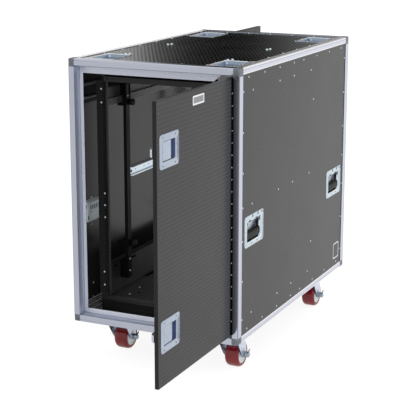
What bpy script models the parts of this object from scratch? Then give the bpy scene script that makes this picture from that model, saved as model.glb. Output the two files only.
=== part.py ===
"""Tall rolling equipment rack case with two pocket doors.

A plywood-and-laminate shell in aluminium edging stands on four swivel casters.
Front and rear openings each have a door on a piano hinge.  The hinge hangs on
a carriage that runs in three tracks on the side wall, so an open door can be
pushed back into a pocket between that wall and the rack frame.  Inside, two
welded side frames on a steel tray carry four 19-inch rack rails (18 U).

Frame: metres, +Z up, front of the case towards -Y, origin on the floor at the
middle of the footprint.  Both doors are modelled open at 90 degrees and slid
fully out.  The rear half is the front half turned 180 degrees about +Z.
"""
import math
import bpy
import bmesh
from mathutils import Matrix, Vector

MM = 0.001

# ---------------------------------------------------------------- dimensions (mm)
SHELL_W, SHELL_D, SHELL_H = 678.0, 1148.0, 1000.0   # aluminium edge to edge
Z0 = 150.0                                          # floor to underside of the shell
HW, HD = SHELL_W / 2, SHELL_D / 2

EXT_T = 2.0            # wall of the edge extrusions
EXT_RECESS = 2.3       # panel face below the extrusion face
PANEL_T = 9.4          # wall panels
BASE_T = 12.0          # base board
GAP = 0.3              # air between pieces that touch

FRAME_FLANGE_Y = 33.0  # how far the end frames wrap round onto the sides
FRAME_FACE = 23.0      # face of the end frame on the left and right
FRAME_FACE_TB = 25.0   # and at the top and bottom
REBATE = 40.5          # depth of the doorway rebate down to the stop strips
STOP_T = 2.0
STOP_SIDE, STOP_TOP, STOP_BOTTOM = 14.0, 31.0, 19.0
EDGE_SIDE, EDGE_TOP = 26.0, 30.0   # legs of the long edge angles

DOOR_T = 14.0
DOOR_INNER_X = 298.5   # inner face of the open front door
DOOR_FREE_Y = -1142.0
DOOR_HINGE_Y = -537.5
DOOR_Z = (36.0, 966.5)
PIN = (297.0, -532.5)  # piano hinge pin of the front door
PIN_R = 3.5
SLIDE_TRAVEL = 568.5

TRACK_Z = (76.0, 498.0, 924.0)
TRACK_H, TRACK_DEEP = 39.0, 11.4
TRACK_Y = (-530.8, 143.0)

LATCH_Y = -1057.5
LATCH_Z = (202.5, 803.0)
BOLT_TRAVEL = 12.0

HANDLE_Y, HANDLE_Z = 428.5, 407.0

CUP_POS = ((-229.0, -456.0), (249.0, -456.0), (-229.0, 400.0), (249.0, 400.0))
CASTER_POS = ((-223.0, -426.0), (248.5, -426.0), (-223.0, 384.0), (248.5, 384.0))
CORNER_NAMES = ("front_left", "front_right", "rear_left", "rear_right")
WHEEL_R, WHEEL_W, TRAIL = 50.0, 46.0, 38.0

RAIL_Y = 510.0         # front faces of the rack rails, 1020 mm apart
RAIL_IN, RAIL_OUT = 225.0, 260.0
RAIL_Z = (106.0, 915.0)
TRAY_Z = (14.7, 70.0)

# ---------------------------------------------------------------- colours
MATERIALS = {
    "laminate": ((0.045, 0.045, 0.046, 1), 0.42, 0.0),
    "aluminium": ((0.60, 0.61, 0.66, 1), 0.35, 1.0),
    "zinc": ((0.72, 0.76, 0.80, 1), 0.30, 1.0),
    "black_steel": ((0.016, 0.016, 0.017, 1), 0.38, 0.0),
    "slide_steel": ((0.66, 0.70, 0.73, 1), 0.28, 1.0),
    "rubber": ((0.014, 0.014, 0.015, 1), 0.60, 0.0),
    "wheel_red": ((0.30, 0.018, 0.022, 1), 0.22, 0.0),
}

for ob in list(bpy.data.objects):
    bpy.data.objects.remove(ob, do_unlink=True)


def material(name):
    mat = bpy.data.materials.get(name)
    if mat is None:
        colour, rough, metal = MATERIALS[name]
        mat = bpy.data.materials.new(name)
        mat.use_nodes = True
        shader = mat.node_tree.nodes["Principled BSDF"]
        shader.inputs["Base Color"].default_value = colour
        shader.inputs["Roughness"].default_value = rough
        shader.inputs["Metallic"].default_value = metal
        mat.diffuse_color = colour
    return mat


# ---------------------------------------------------------------- solid helpers
def to_object(bm, name="tmp"):
    bmesh.ops.recalc_face_normals(bm, faces=bm.faces)
    mesh = bpy.data.meshes.new(name)
    bm.to_mesh(mesh)
    bm.free()
    ob = bpy.data.objects.new(name, mesh)
    bpy.context.scene.collection.objects.link(ob)
    return ob


def loft(rings, cap=True, closed=False):
    """Rings of equal point count, in mm, joined in order into one solid."""
    bm = bmesh.new()
    rows = [[bm.verts.new([c * MM for c in p]) for p in ring] for ring in rings]
    n = len(rows[0])
    pairs = list(zip(rows, rows[1:]))
    if closed:
        pairs.append((rows[-1], rows[0]))
    for a, b in pairs:
        for i in range(n):
            j = (i + 1) % n
            bm.faces.new((a[i], a[j], b[j], b[i]))
    if cap and not closed:
        bm.faces.new(rows[0])
        bm.faces.new(rows[-1])
    return to_object(bm)


def prism(points, axis, lo, hi):
    """Polygon in the two axes other than `axis`, run from lo to hi along it."""
    def at(p, c):
        return {"x": (c, p[0], p[1]), "y": (p[0], c, p[1]), "z": (p[0], p[1], c)}[axis]
    return loft([[at(p, lo) for p in points], [at(p, hi) for p in points]])


def block(x0, x1, y0, y1, z0, z1):
    return prism([(x0, y0), (x1, y0), (x1, y1), (x0, y1)], "z", z0, z1)


def disc(axis, centre, radius, lo, hi, n=28, turn=0.0):
    pts = [(centre[0] + radius * math.cos(turn + 2 * math.pi * k / n),
            centre[1] + radius * math.sin(turn + 2 * math.pi * k / n)) for k in range(n)]
    return prism(pts, axis, lo, hi)


def frustum_x(levels):
    """Tapered tub along X: (x, half_y, z_low, z_high) per level."""
    return loft([[(x, -hy, zl), (x, hy, zl), (x, hy, zh), (x, -hy, zh)]
                 for x, hy, zl, zh in levels])


def spun_x(profile, n):
    """Ring turned about the X axis from a closed (x, r) outline."""
    return loft([[(x, r * math.cos(2 * math.pi * k / n), r * math.sin(2 * math.pi * k / n))
                  for x, r in profile] for k in range(n)], closed=True)


def combine(base, other, operation):
    mod = base.modifiers.new("bool", "BOOLEAN")
    mod.operation = operation
    mod.solver = "EXACT"
    mod.object = other
    deps = bpy.context.evaluated_depsgraph_get()
    deps.update()
    fresh = bpy.data.meshes.new_from_object(base.evaluated_get(deps))
    base.modifiers.clear()
    old = base.data
    base.data = fresh
    bpy.data.meshes.remove(old)
    bpy.data.objects.remove(other, do_unlink=True)
    return base


def fuse(base, *others):
    for other in others:
        combine(base, other, "UNION")
    return base


def cut(base, *others):
    for other in others:
        combine(base, other, "DIFFERENCE")
    return base


def finish(ob, name, mat, origin=(0.0, 0.0, 0.0), parent=None, smooth=False):
    """Name a solid, give it its material, and put its origin at `origin` (mm)."""
    origin = Vector(origin) * MM
    ob.name = name
    ob.data.name = name
    ob.data.transform(Matrix.Translation(-origin))
    ob.data.materials.clear()
    ob.data.materials.append(material(mat))
    if smooth:
        ob.data.shade_smooth()
        ob.data.set_sharp_from_angle(angle=math.radians(35))
    set_place(ob, origin, 0.0, parent)
    return ob


WORLD = {}


def set_place(ob, origin, turn, parent):
    """World place of an object; a child's location is taken in its parent's frame."""
    WORLD[ob.name] = (Vector(origin), turn)
    if parent is None:
        ob.location = origin
        ob.rotation_euler = (0.0, 0.0, turn)
        return
    p_loc, p_turn = WORLD[parent.name]
    ob.parent = parent
    ob.location = Matrix.Rotation(-p_turn, 3, "Z") @ (Vector(origin) - p_loc)
    ob.rotation_euler = (0.0, 0.0, turn - p_turn)


def copy_of(ob, name, origin, half_turn=False, parent=None):
    """Another object on the same mesh, moved to `origin` (mm), perhaps turned 180."""
    twin = bpy.data.objects.new(name, ob.data)
    bpy.context.scene.collection.objects.link(twin)
    set_place(twin, Vector(origin) * MM, math.pi if half_turn else 0.0, parent)
    return twin


def opposite(p):
    return (-p[0], -p[1], p[2])


# ---------------------------------------------------------------- shell panels
face_x = HW - EXT_RECESS
in_x = face_x - PANEL_T
end_y = HD - 2.5 - GAP


def handle_hole(side, y):
    x0, x1 = sorted((side * (face_x + 5), side * (in_x - 5)))
    return block(x0, x1, y - 66, y + 66, Z0 + HANDLE_Z - 43, Z0 + HANDLE_Z + 47)


for side, name in ((-1, "left_panel"), (1, "right_panel")):
    x0, x1 = sorted((side * face_x, side * in_x))
    wall = block(x0, x1, -end_y, end_y, Z0 + EXT_RECESS, Z0 + SHELL_H - EXT_RECESS)
    cut(wall, handle_hole(side, -HANDLE_Y), handle_hole(side, HANDLE_Y))
    finish(wall, name, "laminate")

deck_top = Z0 + SHELL_H - EXT_RECESS
deck = block(-in_x + GAP, in_x - GAP, -end_y, end_y, deck_top - PANEL_T, deck_top)
for cx, cy in CUP_POS:
    cut(deck, block(cx - 47, cx + 47, cy - 71, cy + 71, deck_top - 20, deck_top + 5))
finish(deck, "top_panel", "laminate")

base = block(-in_x + GAP, in_x - GAP, -end_y, end_y, Z0 + EXT_RECESS, Z0 + EXT_RECESS + BASE_T)
finish(base, "bottom_panel", "laminate")


# ---------------------------------------------------------------- doorway end frames
def end_frame():
    """Mitred ring: wrap flange, face, jamb and stop strip, swept round the opening."""
    f, t = HD, EXT_T
    stop_y = -f + REBATE
    # (inset left, inset right, inset top, inset bottom, y)
    side, tb = FRAME_FACE, FRAME_FACE_TB
    section = [
        (0, 0, 0, 0, -f),
        (0, 0, 0, 0, -f + FRAME_FLANGE_Y),
        (t, t, t, t, -f + FRAME_FLANGE_Y),
        (t, t, t, t, -f + 2.5),
        (side - t, side - t, tb - t, tb - t, -f + 2.5),
        (side - t, side - t, tb - t, tb - t, stop_y + STOP_T),
        (side + STOP_SIDE, side + STOP_SIDE, tb + STOP_TOP, tb + STOP_BOTTOM, stop_y + STOP_T),
        (side + STOP_SIDE, side + STOP_SIDE, tb + STOP_TOP, tb + STOP_BOTTOM, stop_y),
        (side, side, tb, tb, stop_y),
        (side, side, tb, tb, -f),
    ]
    rings = []
    for sx, sz in ((-1, -1), (1, -1), (1, 1), (-1, 1)):
        ring = []
        for left, right, top, bottom, y in section:
            x = -HW + left if sx < 0 else HW - right
            z = Z0 + bottom if sz < 0 else Z0 + SHELL_H - top
            ring.append((x, y, z))
        rings.append(ring)
    ring = loft(rings, closed=True)
    # the stops end short of the hinge side, where door and carriage slide past;
    # the top one ends in a slanting cut
    clear = [(218.6, Z0 + 943), (260.6, Z0 + 978), (319, Z0 + 978), (319, Z0 + 22),
             (253, Z0 + 22), (226, Z0 + 45)]
    return cut(ring, prism(clear, "y", stop_y - 0.5, stop_y + 10))


front_frame = finish(end_frame(), "front_frame", "aluminium")
copy_of(front_frame, "rear_frame", (0, 0, 0), half_turn=True)

# ---------------------------------------------------------------- long edge angles
run = HD - FRAME_FLANGE_Y - GAP
for sx, side in ((-1, "left"), (1, "right")):
    for z_out, sz, level in ((Z0 + SHELL_H, -1, "top"), (Z0, 1, "bottom")):
        outline = [(sx * HW, z_out), (sx * HW, z_out + sz * EDGE_SIDE),
                   (sx * (HW - EXT_T), z_out + sz * EDGE_SIDE),
                   (sx * (HW - EXT_T), z_out + sz * EXT_T),
                   (sx * (HW - EDGE_TOP), z_out + sz * EXT_T), (sx * (HW - EDGE_TOP), z_out)]
        finish(prism(outline, "y", -run, run), "%s_%s_edge" % (level, side), "aluminium")

# ---------------------------------------------------------------- pocket door tracks
web_x = in_x - GAP
lip_x = web_x - TRACK_DEEP


def door_tracks():
    body = None
    for zc in TRACK_Z:
        h, z = TRACK_H / 2, Z0 + zc
        outline = [(web_x, z - h), (web_x, z + h), (lip_x, z + h), (lip_x, z + h - 1.5),
                   (web_x - 1.5, z + h - 1.5), (web_x - 1.5, z - h + 1.5),
                   (lip_x, z - h + 1.5), (lip_x, z - h)]
        channel = prism(outline, "y", *TRACK_Y)
        body = channel if body is None else fuse(body, channel)
    strip = block(web_x - 1.5, web_x, -530.0, -504.0, Z0 + TRACK_Z[0], Z0 + TRACK_Z[-1])
    return fuse(body, strip)


front_tracks = finish(door_tracks(), "front_door_tracks", "slide_steel")
copy_of(front_tracks, "rear_door_tracks", (0, 0, 0), half_turn=True)


# ---------------------------------------------------------------- carriage and door
def knuckle_spans():
    """Alternate lengths of hinge barrel: even ones belong to the door."""
    z, step = 50.0, 150.0
    return [(z + k * step, z + (k + 1) * step - 0.5) for k in range(6)]


def carriage():
    post = block(299, 311, -527, -500, Z0 + 40, Z0 + 962)
    for zc in TRACK_Z:
        fuse(post, block(310, 317.5, -527, -500, Z0 + zc - 10, Z0 + zc + 10),
             block(317, 324.4, -527, -430, Z0 + zc - 14, Z0 + zc + 14))
    for k, (lo, hi) in enumerate(knuckle_spans()):
        if k % 2:
            fuse(post, block(296.5, 299.3, PIN[1], -503, Z0 + lo, Z0 + hi),
                 disc("z", PIN, PIN_R, Z0 + lo, Z0 + hi, 16))
    return post


def door():
    leaf = block(DOOR_INNER_X, DOOR_INNER_X + DOOR_T, DOOR_FREE_Y, DOOR_HINGE_Y,
                 Z0 + DOOR_Z[0], Z0 + DOOR_Z[1])
    for zc in LATCH_Z:
        cut(leaf, block(DOOR_INNER_X - 5, DOOR_INNER_X + DOOR_T + 5,
                        LATCH_Y - 48, LATCH_Y + 48, Z0 + zc - 33.5, Z0 + zc + 33.5))
    for k, (lo, hi) in enumerate(knuckle_spans()):
        if k % 2 == 0:
            fuse(leaf, block(296.9, 298.7, -575, PIN[1], Z0 + lo, Z0 + hi),
                 disc("z", PIN, PIN_R, Z0 + lo, Z0 + hi, 16))
    return leaf


pin_origin = (PIN[0], PIN[1], Z0 + 500)
front_carriage = finish(carriage(), "front_door_carriage", "black_steel", origin=pin_origin)
front_door = finish(door(), "front_door", "laminate", origin=pin_origin, parent=front_carriage)
rear_carriage = copy_of(front_carriage, "rear_door_carriage", opposite(pin_origin), True)
rear_door = copy_of(front_door, "rear_door", opposite(pin_origin), True, rear_carriage)

# ---------------------------------------------------------------- door latches
# origin of a latch: its middle, on the outer face of the open front door, facing +X
DOOR_OUT_X = DOOR_INNER_X + DOOR_T


def latch_dish():
    dish = fuse(block(0.3, 1.6, -67.5, 67.5, -53, 53),
                block(-13.7, 1.0, -47.2, 47.2, -32.7, 32.7))
    cut(dish, block(-12.5, 5, -46, 46, -31.5, 31.5))
    # keeper for the bolt on the inner face: foot plate, then a box open at both ends
    fuse(dish, block(-15.6, -13.2, -46, -22, -14.7, 14.7),
         block(-15.6, -14.3, -70.5, -30, -14.7, 14.7),
         block(-31, -14.5, -70.5, -30, -14.7, 14.7))
    cut(dish, block(-29.8, -15.6, -80, -10, -13.2, 13.2))
    return dish


def latch_paddle():
    plate = fuse(block(-4.0, -1.2, -43.5, 11.5, -30.3, 30.3),
                 disc("z", (-3.7, -43.0), 2.4, -30.3, 30.3, 12),
                 block(-6.6, -1.4, 9.0, 11.5, -24, 24))
    return plate


def latch_bolt():
    """Flat bolt with a slanted nose, standing proud of the inner face."""
    nose = [(-17.0, -83.0), (-17.0, -50.0), (-29.0, -50.0), (-29.0, -72.5)]
    return prism(nose, "z", -12.5, 12.5)


PADDLE_PIVOT = (-3.7, -43.0)
first = {}
for level, zc in zip(("lower", "upper"), LATCH_Z):
    centre = (DOOR_OUT_X, LATCH_Y, Z0 + zc)
    pivot = (DOOR_OUT_X + PADDLE_PIVOT[0], LATCH_Y + PADDLE_PIVOT[1], Z0 + zc)
    if not first:
        first["dish"] = finish(latch_dish(), "front_%s_latch_dish" % level, "zinc")
        first["paddle"] = finish(latch_paddle(), "front_%s_latch_paddle" % level, "zinc",
                                 origin=(PADDLE_PIVOT[0], PADDLE_PIVOT[1], 0))
        first["bolt"] = finish(latch_bolt(), "front_%s_latch_bolt" % level, "zinc")
        set_place(first["dish"], Vector(centre) * MM, 0.0, front_door)
        set_place(first["paddle"], Vector(pivot) * MM, 0.0, front_door)
        set_place(first["bolt"], Vector(centre) * MM, 0.0, front_door)
    else:
        copy_of(first["dish"], "front_%s_latch_dish" % level, centre, False, front_door)
        copy_of(first["paddle"], "front_%s_latch_paddle" % level, pivot, False, front_door)
        copy_of(first["bolt"], "front_%s_latch_bolt" % level, centre, False, front_door)
    copy_of(first["dish"], "rear_%s_latch_dish" % level, opposite(centre), True, rear_door)
    copy_of(first["paddle"], "rear_%s_latch_paddle" % level, opposite(pivot), True, rear_door)
    copy_of(first["bolt"], "rear_%s_latch_bolt" % level, opposite(centre), True, rear_door)


# ---------------------------------------------------------------- side handles
# origin of a handle: its middle on the outer face of the wall, facing +X
def handle_dish():
    dish = fuse(block(0.3, 1.8, -91.5, 91.5, -55, 55),
                frustum_x([(1.0, 65.2, -42.2, 46.2), (-15.0, 62.2, -41.2, 41.2),
                           (-22.2, 48.2, -38.2, 37.2)]))
    return cut(dish, frustum_x([(6.0, 64.9, -41.3, 46.9), (-14.6, 61.0, -40.0, 40.0),
                                (-21.0, 47.0, -37.0, 36.0)]))


BAIL_PIVOT = (-8.0, 22.0)    # x, z


def handle_bail():
    grip = disc("y", (-9.0, -25.0), 8.5, -52.6, 52.6, 20)
    for s in (-1, 1):
        y0, y1 = sorted((s * 52.0, s * 57.0))
        p0, p1 = sorted((s * 56.0, s * 60.3))
        fuse(grip, block(-12.5, -4.5, y0, y1, -31, 24),
             disc("y", BAIL_PIVOT, 3.0, p0, p1, 14), disc("y", BAIL_PIVOT, 5.5, y0, y1, 16))
    return grip


dish = bail = None
for name, sx, sy in (("front_right", 1, -1), ("rear_right", 1, 1),
                     ("front_left", -1, -1), ("rear_left", -1, 1)):
    centre = (sx * face_x, sy * HANDLE_Y, Z0 + HANDLE_Z)
    pivot = (sx * (face_x + BAIL_PIVOT[0]), sy * HANDLE_Y, Z0 + HANDLE_Z + BAIL_PIVOT[1])
    if dish is None:
        dish = finish(handle_dish(), name + "_handle_dish", "zinc")
        bail = finish(handle_bail(), name + "_handle_grip", "rubber",
                      origin=(BAIL_PIVOT[0], 0, BAIL_PIVOT[1]), smooth=True)
        set_place(dish, Vector(centre) * MM, 0.0, None)
        set_place(bail, Vector(pivot) * MM, 0.0, None)
    else:
        copy_of(dish, name + "_handle_dish", centre, sx < 0)
        copy_of(bail, name + "_handle_grip", pivot, sx < 0)


# ---------------------------------------------------------------- stacking cups
def stacking_cup():
    cup = fuse(block(-58, 58, -82.5, 82.5, 0.3, 1.8), block(-46.2, 46.2, -70.2, 70.2, -13.2, 1.0))
    return cut(cup, block(-45, 45, -69, 69, -12, 6))


cup = None
for name, (cx, cy) in zip(CORNER_NAMES, CUP_POS):
    if cup is None:
        cup = finish(stacking_cup(), name + "_stacking_cup", "zinc")
        set_place(cup, Vector((cx, cy, deck_top)) * MM, 0.0, None)
    else:
        copy_of(cup, name + "_stacking_cup", (cx, cy, deck_top))


# ---------------------------------------------------------------- casters
# origin of a caster's fixed part and fork: the swivel axis at floor level
def caster_plate():
    top = Z0 + EXT_RECESS - GAP
    return fuse(block(-50, 50, -42.5, 42.5, top - 4.0, top),
                disc("z", (0, 0), 32.0, 139.0, top - 3.0, 32))


def caster_fork():
    fork = disc("z", (0, 0), 31.0, 131.5, 138.6, 32)
    fuse(fork, block(-30.5, 30.5, -26, 27, 128.0, 133.5))
    cy, cz = TRAIL, WHEEL_R
    leg = [(-26, 133.4), (-24, 112), (14, 62)]
    leg += [(cy + 13 * math.cos(a), cz + 13 * math.sin(a))
            for a in [math.radians(d) for d in (205, 240, 270, 300, 330, 360, 25)]]
    leg += [(37, 100), (27, 133.4)]
    for s in (-1, 1):
        x0, x1 = sorted((s * 27.0, s * 30.5))
        fuse(fork, prism(leg, "x", x0, x1))
    fuse(fork, disc("x", (cy, cz), 6.0, -34.0, 45.0, 20),
         disc("x", (cy, cz), 10.5, 30.0, 46.0, 6), disc("x", (cy, cz), 10.5, -38.0, -30.0, 6))
    return fork


def caster_wheel():
    h, r = WHEEL_W / 2, WHEEL_R
    tread = [(-h, r - 10), (-h + 2.5, r - 4.0), (-h + 9.0, r - 0.5), (0, r),
             (h - 9.0, r - 0.5), (h - 2.5, r - 4.0), (h, r - 10)]
    hub = [(h + 2.0, 14.0), (h + 2.0, 6.4), (-h - 2.0, 6.4), (-h - 2.0, 14.0)]
    return spun_x(tread + hub, 36)


plate = fork = wheel = None
for name, (cx, cy) in zip(CORNER_NAMES, CASTER_POS):
    foot, hub = (cx, cy, 0), (cx, cy + TRAIL, WHEEL_R)
    if plate is None:
        plate = finish(caster_plate(), name + "_caster_plate", "zinc")
        fork = finish(caster_fork(), name + "_caster_fork", "zinc")
        wheel = finish(caster_wheel(), name + "_caster_wheel", "wheel_red", smooth=True)
        set_place(plate, Vector(foot) * MM, 0.0, None)
        set_place(fork, Vector(foot) * MM, 0.0, None)
        set_place(wheel, Vector(hub) * MM, 0.0, fork)
    else:
        copy_of(plate, name + "_caster_plate", foot)
        twin = copy_of(fork, name + "_caster_fork", foot)
        copy_of(wheel, name + "_caster_wheel", hub, False, twin)


# ---------------------------------------------------------------- rack inside
def rack_tray():
    """Upturned folded steel tray, widened where there is no door pocket."""
    outer = [(-298, -430), (246, -430), (246, 150), (298, 150), (298, 430),
             (-246, 430), (-246, -150), (-298, -150)]
    t = 2.0
    inner = [(-298 + t, -430 + t), (246 - t, -430 + t), (246 - t, 150 + t), (298 - t, 150 + t),
             (298 - t, 430 - t), (-246 + t, 430 - t), (-246 + t, -150 - t), (-298 + t, -150 - t)]
    pan = prism(outer, "z", Z0 + TRAY_Z[0], Z0 + TRAY_Z[1])
    return cut(pan, prism(inner, "z", Z0 + TRAY_Z[0] - 10, Z0 + TRAY_Z[1] - t))


finish(rack_tray(), "rack_base_tray", "black_steel")


def side_frame(s):
    """Two posts joined by an upper and a lower channel, welded; s is -1 left, 1 right."""
    def bar(x0, x1, y0, y1, z0, z1):
        a, b = sorted((s * x0, s * x1))
        return block(a, b, y0, y1, Z0 + z0, Z0 + z1)
    frame = bar(259, 262, -505, 505, 815, 888)
    fuse(frame, bar(238, 261, -479.5, 479.5, 885, 888), bar(238, 261, -479.5, 479.5, 815, 818),
         bar(259, 262, -505, 505, 150, 205), bar(238, 261, -479.5, 479.5, 202, 205),
         bar(238, 261, -479.5, 479.5, 150, 153))
    for yc in (-335, 335):
        fuse(frame, bar(225, 249, yc - 14, yc + 14, 110, 884),
             bar(227, 266, yc - 16, yc + 16, 800, 886.5),
             bar(227, 264, yc - 16, yc + 16, TRAY_Z[1] + GAP, 160))
    return frame


finish(side_frame(-1), "left_rack_frame", "black_steel")
finish(side_frame(1), "right_rack_frame", "black_steel")


def rack_rail(s):
    """Front-left or front-right 19-inch rail: an angle with its face to the front."""
    outline = [(RAIL_IN, -RAIL_Y), (RAIL_OUT, -RAIL_Y), (RAIL_OUT, -RAIL_Y + 2.5),
               (258.7, -RAIL_Y + 2.5), (258.7, -480.5), (256.2, -480.5),
               (256.2, -RAIL_Y + 2.5), (RAIL_IN, -RAIL_Y + 2.5)]
    return prism([(s * x, y) for x, y in outline], "z", Z0 + RAIL_Z[0], Z0 + RAIL_Z[1])


left_rail = finish(rack_rail(-1), "front_left_rack_rail", "black_steel")
right_rail = finish(rack_rail(1), "front_right_rack_rail", "black_steel")
copy_of(left_rail, "rear_right_rack_rail", (0, 0, 0), half_turn=True)
copy_of(right_rail, "rear_left_rack_rail", (0, 0, 0), half_turn=True)
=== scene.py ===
"""Looks of a tall rolling equipment rack case with pocket doors.

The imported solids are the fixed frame.  Here every surface gets its finish, and
the extrusions, castings, handles, latches, cups, casters, slide tracks and rack
rails get their detailed meshes.  Lengths below are in millimetres in the same
frame: +Z up, the front of the case towards -Y, the floor at z = 0.
"""

import math

import bmesh
import bpy
from mathutils import Matrix, Vector


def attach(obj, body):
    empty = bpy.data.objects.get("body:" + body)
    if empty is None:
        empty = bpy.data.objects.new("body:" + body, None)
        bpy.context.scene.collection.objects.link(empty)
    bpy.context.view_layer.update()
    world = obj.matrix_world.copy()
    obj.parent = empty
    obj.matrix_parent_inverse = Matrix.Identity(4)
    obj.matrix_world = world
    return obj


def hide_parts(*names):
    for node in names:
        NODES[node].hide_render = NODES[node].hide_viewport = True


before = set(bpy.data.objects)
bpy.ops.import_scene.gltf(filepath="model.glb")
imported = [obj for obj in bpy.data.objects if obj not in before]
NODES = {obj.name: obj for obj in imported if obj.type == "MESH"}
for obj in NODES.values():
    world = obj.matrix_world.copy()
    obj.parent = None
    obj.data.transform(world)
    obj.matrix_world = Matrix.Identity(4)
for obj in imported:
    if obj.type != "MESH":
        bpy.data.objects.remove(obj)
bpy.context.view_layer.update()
MM = 0.001
Z0 = 150.0                      # floor to the underside of the shell
HW, HD, SH = 339.0, 574.0, 1000.0
FACE_X = 336.7                  # outer face of the side panels
DECK_Z = Z0 + SH - 2.3          # top face of the top panel
HALF_TURN = Matrix.Rotation(math.pi, 4, "Z")
IDENT = Matrix.Identity(4)
HALVES = (("front", IDENT), ("rear", HALF_TURN))


# ------------------------------------------------------------------ materials
class Mat:
    """A Principled material with a few helpers to wire procedural nodes."""

    def __init__(self, name, rough=0.4, metal=0.0, spec=0.5):
        self.m = bpy.data.materials.new(name)
        self.m.use_nodes = True
        self.nt = self.m.node_tree
        self.bsdf = self.nt.nodes["Principled BSDF"]
        self.bsdf.inputs["Roughness"].default_value = rough
        self.bsdf.inputs["Metallic"].default_value = metal
        self.bsdf.inputs["Specular IOR Level"].default_value = spec
        self.tc = self.nt.nodes.new("ShaderNodeTexCoord")

    def node(self, kind, **props):
        n = self.nt.nodes.new(kind)
        for k, v in props.items():
            setattr(n, k, v)
        return n

    def link(self, a, b):
        self.nt.links.new(a, b)

    def coords(self, scale=(1, 1, 1), rot=(0, 0, 0)):
        mp = self.node("ShaderNodeMapping")
        mp.inputs["Scale"].default_value = scale
        mp.inputs["Rotation"].default_value = rot
        self.link(self.tc.outputs["Object"], mp.inputs["Vector"])
        return mp.outputs["Vector"]

    def noise(self, vec, scale, detail=3.0, rough=0.5):
        n = self.node("ShaderNodeTexNoise")
        n.inputs["Scale"].default_value = scale
        n.inputs["Detail"].default_value = detail
        n.inputs["Roughness"].default_value = rough
        self.link(vec, n.inputs["Vector"])
        return n.outputs["Fac"]

    def voronoi(self, vec, scale, feature="F1"):
        n = self.node("ShaderNodeTexVoronoi", feature=feature)
        n.inputs["Scale"].default_value = scale
        self.link(vec, n.inputs["Vector"])
        return n.outputs["Distance"]

    def math(self, op, a, b=None, c=None):
        n = self.node("ShaderNodeMath", operation=op)
        for i, v in enumerate((a, b, c)):
            if v is None:
                continue
            if isinstance(v, (int, float)):
                n.inputs[i].default_value = v
            else:
                self.link(v, n.inputs[i])
        return n.outputs[0]

    def dot(self, vec, k):
        n = self.node("ShaderNodeVectorMath", operation="DOT_PRODUCT")
        self.link(vec, n.inputs[0])
        n.inputs[1].default_value = k
        return n.outputs["Value"]

    def ramp(self, fac, stops, interp="LINEAR"):
        n = self.node("ShaderNodeValToRGB")
        cr = n.color_ramp
        cr.interpolation = interp
        while len(cr.elements) < len(stops):
            cr.elements.new(0.5)
        for e, (p, c) in zip(cr.elements, stops):
            e.position = p
            e.color = (c, c, c, 1) if isinstance(c, (int, float)) else (*c, 1)
        self.link(fac, n.inputs["Fac"])
        return n.outputs["Color"]

    def span(self, fac, a, b, lo, hi):
        n = self.node("ShaderNodeMapRange")
        self.link(fac, n.inputs["Value"])
        for k, v in (("From Min", a), ("From Max", b), ("To Min", lo), ("To Max", hi)):
            n.inputs[k].default_value = v
        return n.outputs["Result"]

    def mix(self, fac, a, b, blend="MIX"):
        n = self.node("ShaderNodeMix", data_type="RGBA", blend_type=blend)
        if isinstance(fac, (int, float)):
            n.inputs["Factor"].default_value = fac
        else:
            self.link(fac, n.inputs["Factor"])
        for i, v in ((6, a), (7, b)):
            if isinstance(v, tuple):
                n.inputs[i].default_value = (*v, 1)
            else:
                self.link(v, n.inputs[i])
        return n.outputs[2]

    def bump(self, height, distance, strength=1.0, normal=None):
        n = self.node("ShaderNodeBump")
        n.inputs["Distance"].default_value = distance
        n.inputs["Strength"].default_value = strength
        self.link(height, n.inputs["Height"])
        if normal is not None:
            self.link(normal, n.inputs["Normal"])
        return n.outputs["Normal"]

    def color(self, c):
        if isinstance(c, tuple):
            self.bsdf.inputs["Base Color"].default_value = (*c, 1)
        else:
            self.link(c, self.bsdf.inputs["Base Color"])

    def set(self, socket, v):
        if isinstance(v, (int, float)):
            self.bsdf.inputs[socket].default_value = v
        else:
            self.link(v, self.bsdf.inputs[socket])


def hex_field(m, plane, pitch, angle, weights=(1.0, 0.55, 0.55)):
    """Honeycomb emboss: three cosines at 60 degrees, the first one strongest."""
    vec = m.tc.outputs["Object"]
    total = None
    for w, turn in zip(weights, (0, 60, -60)):
        a = math.radians(angle + turn)
        u, v = (math.cos(a) * 2 * math.pi / (pitch * MM), math.sin(a) * 2 * math.pi / (pitch * MM))
        k = (0, u, v) if plane == "yz" else (u, v, 0)
        c = m.math("COSINE", m.dot(vec, k))
        c = m.math("MULTIPLY", c, w / sum(weights))
        total = c if total is None else m.math("ADD", total, c)
    return total


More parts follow.
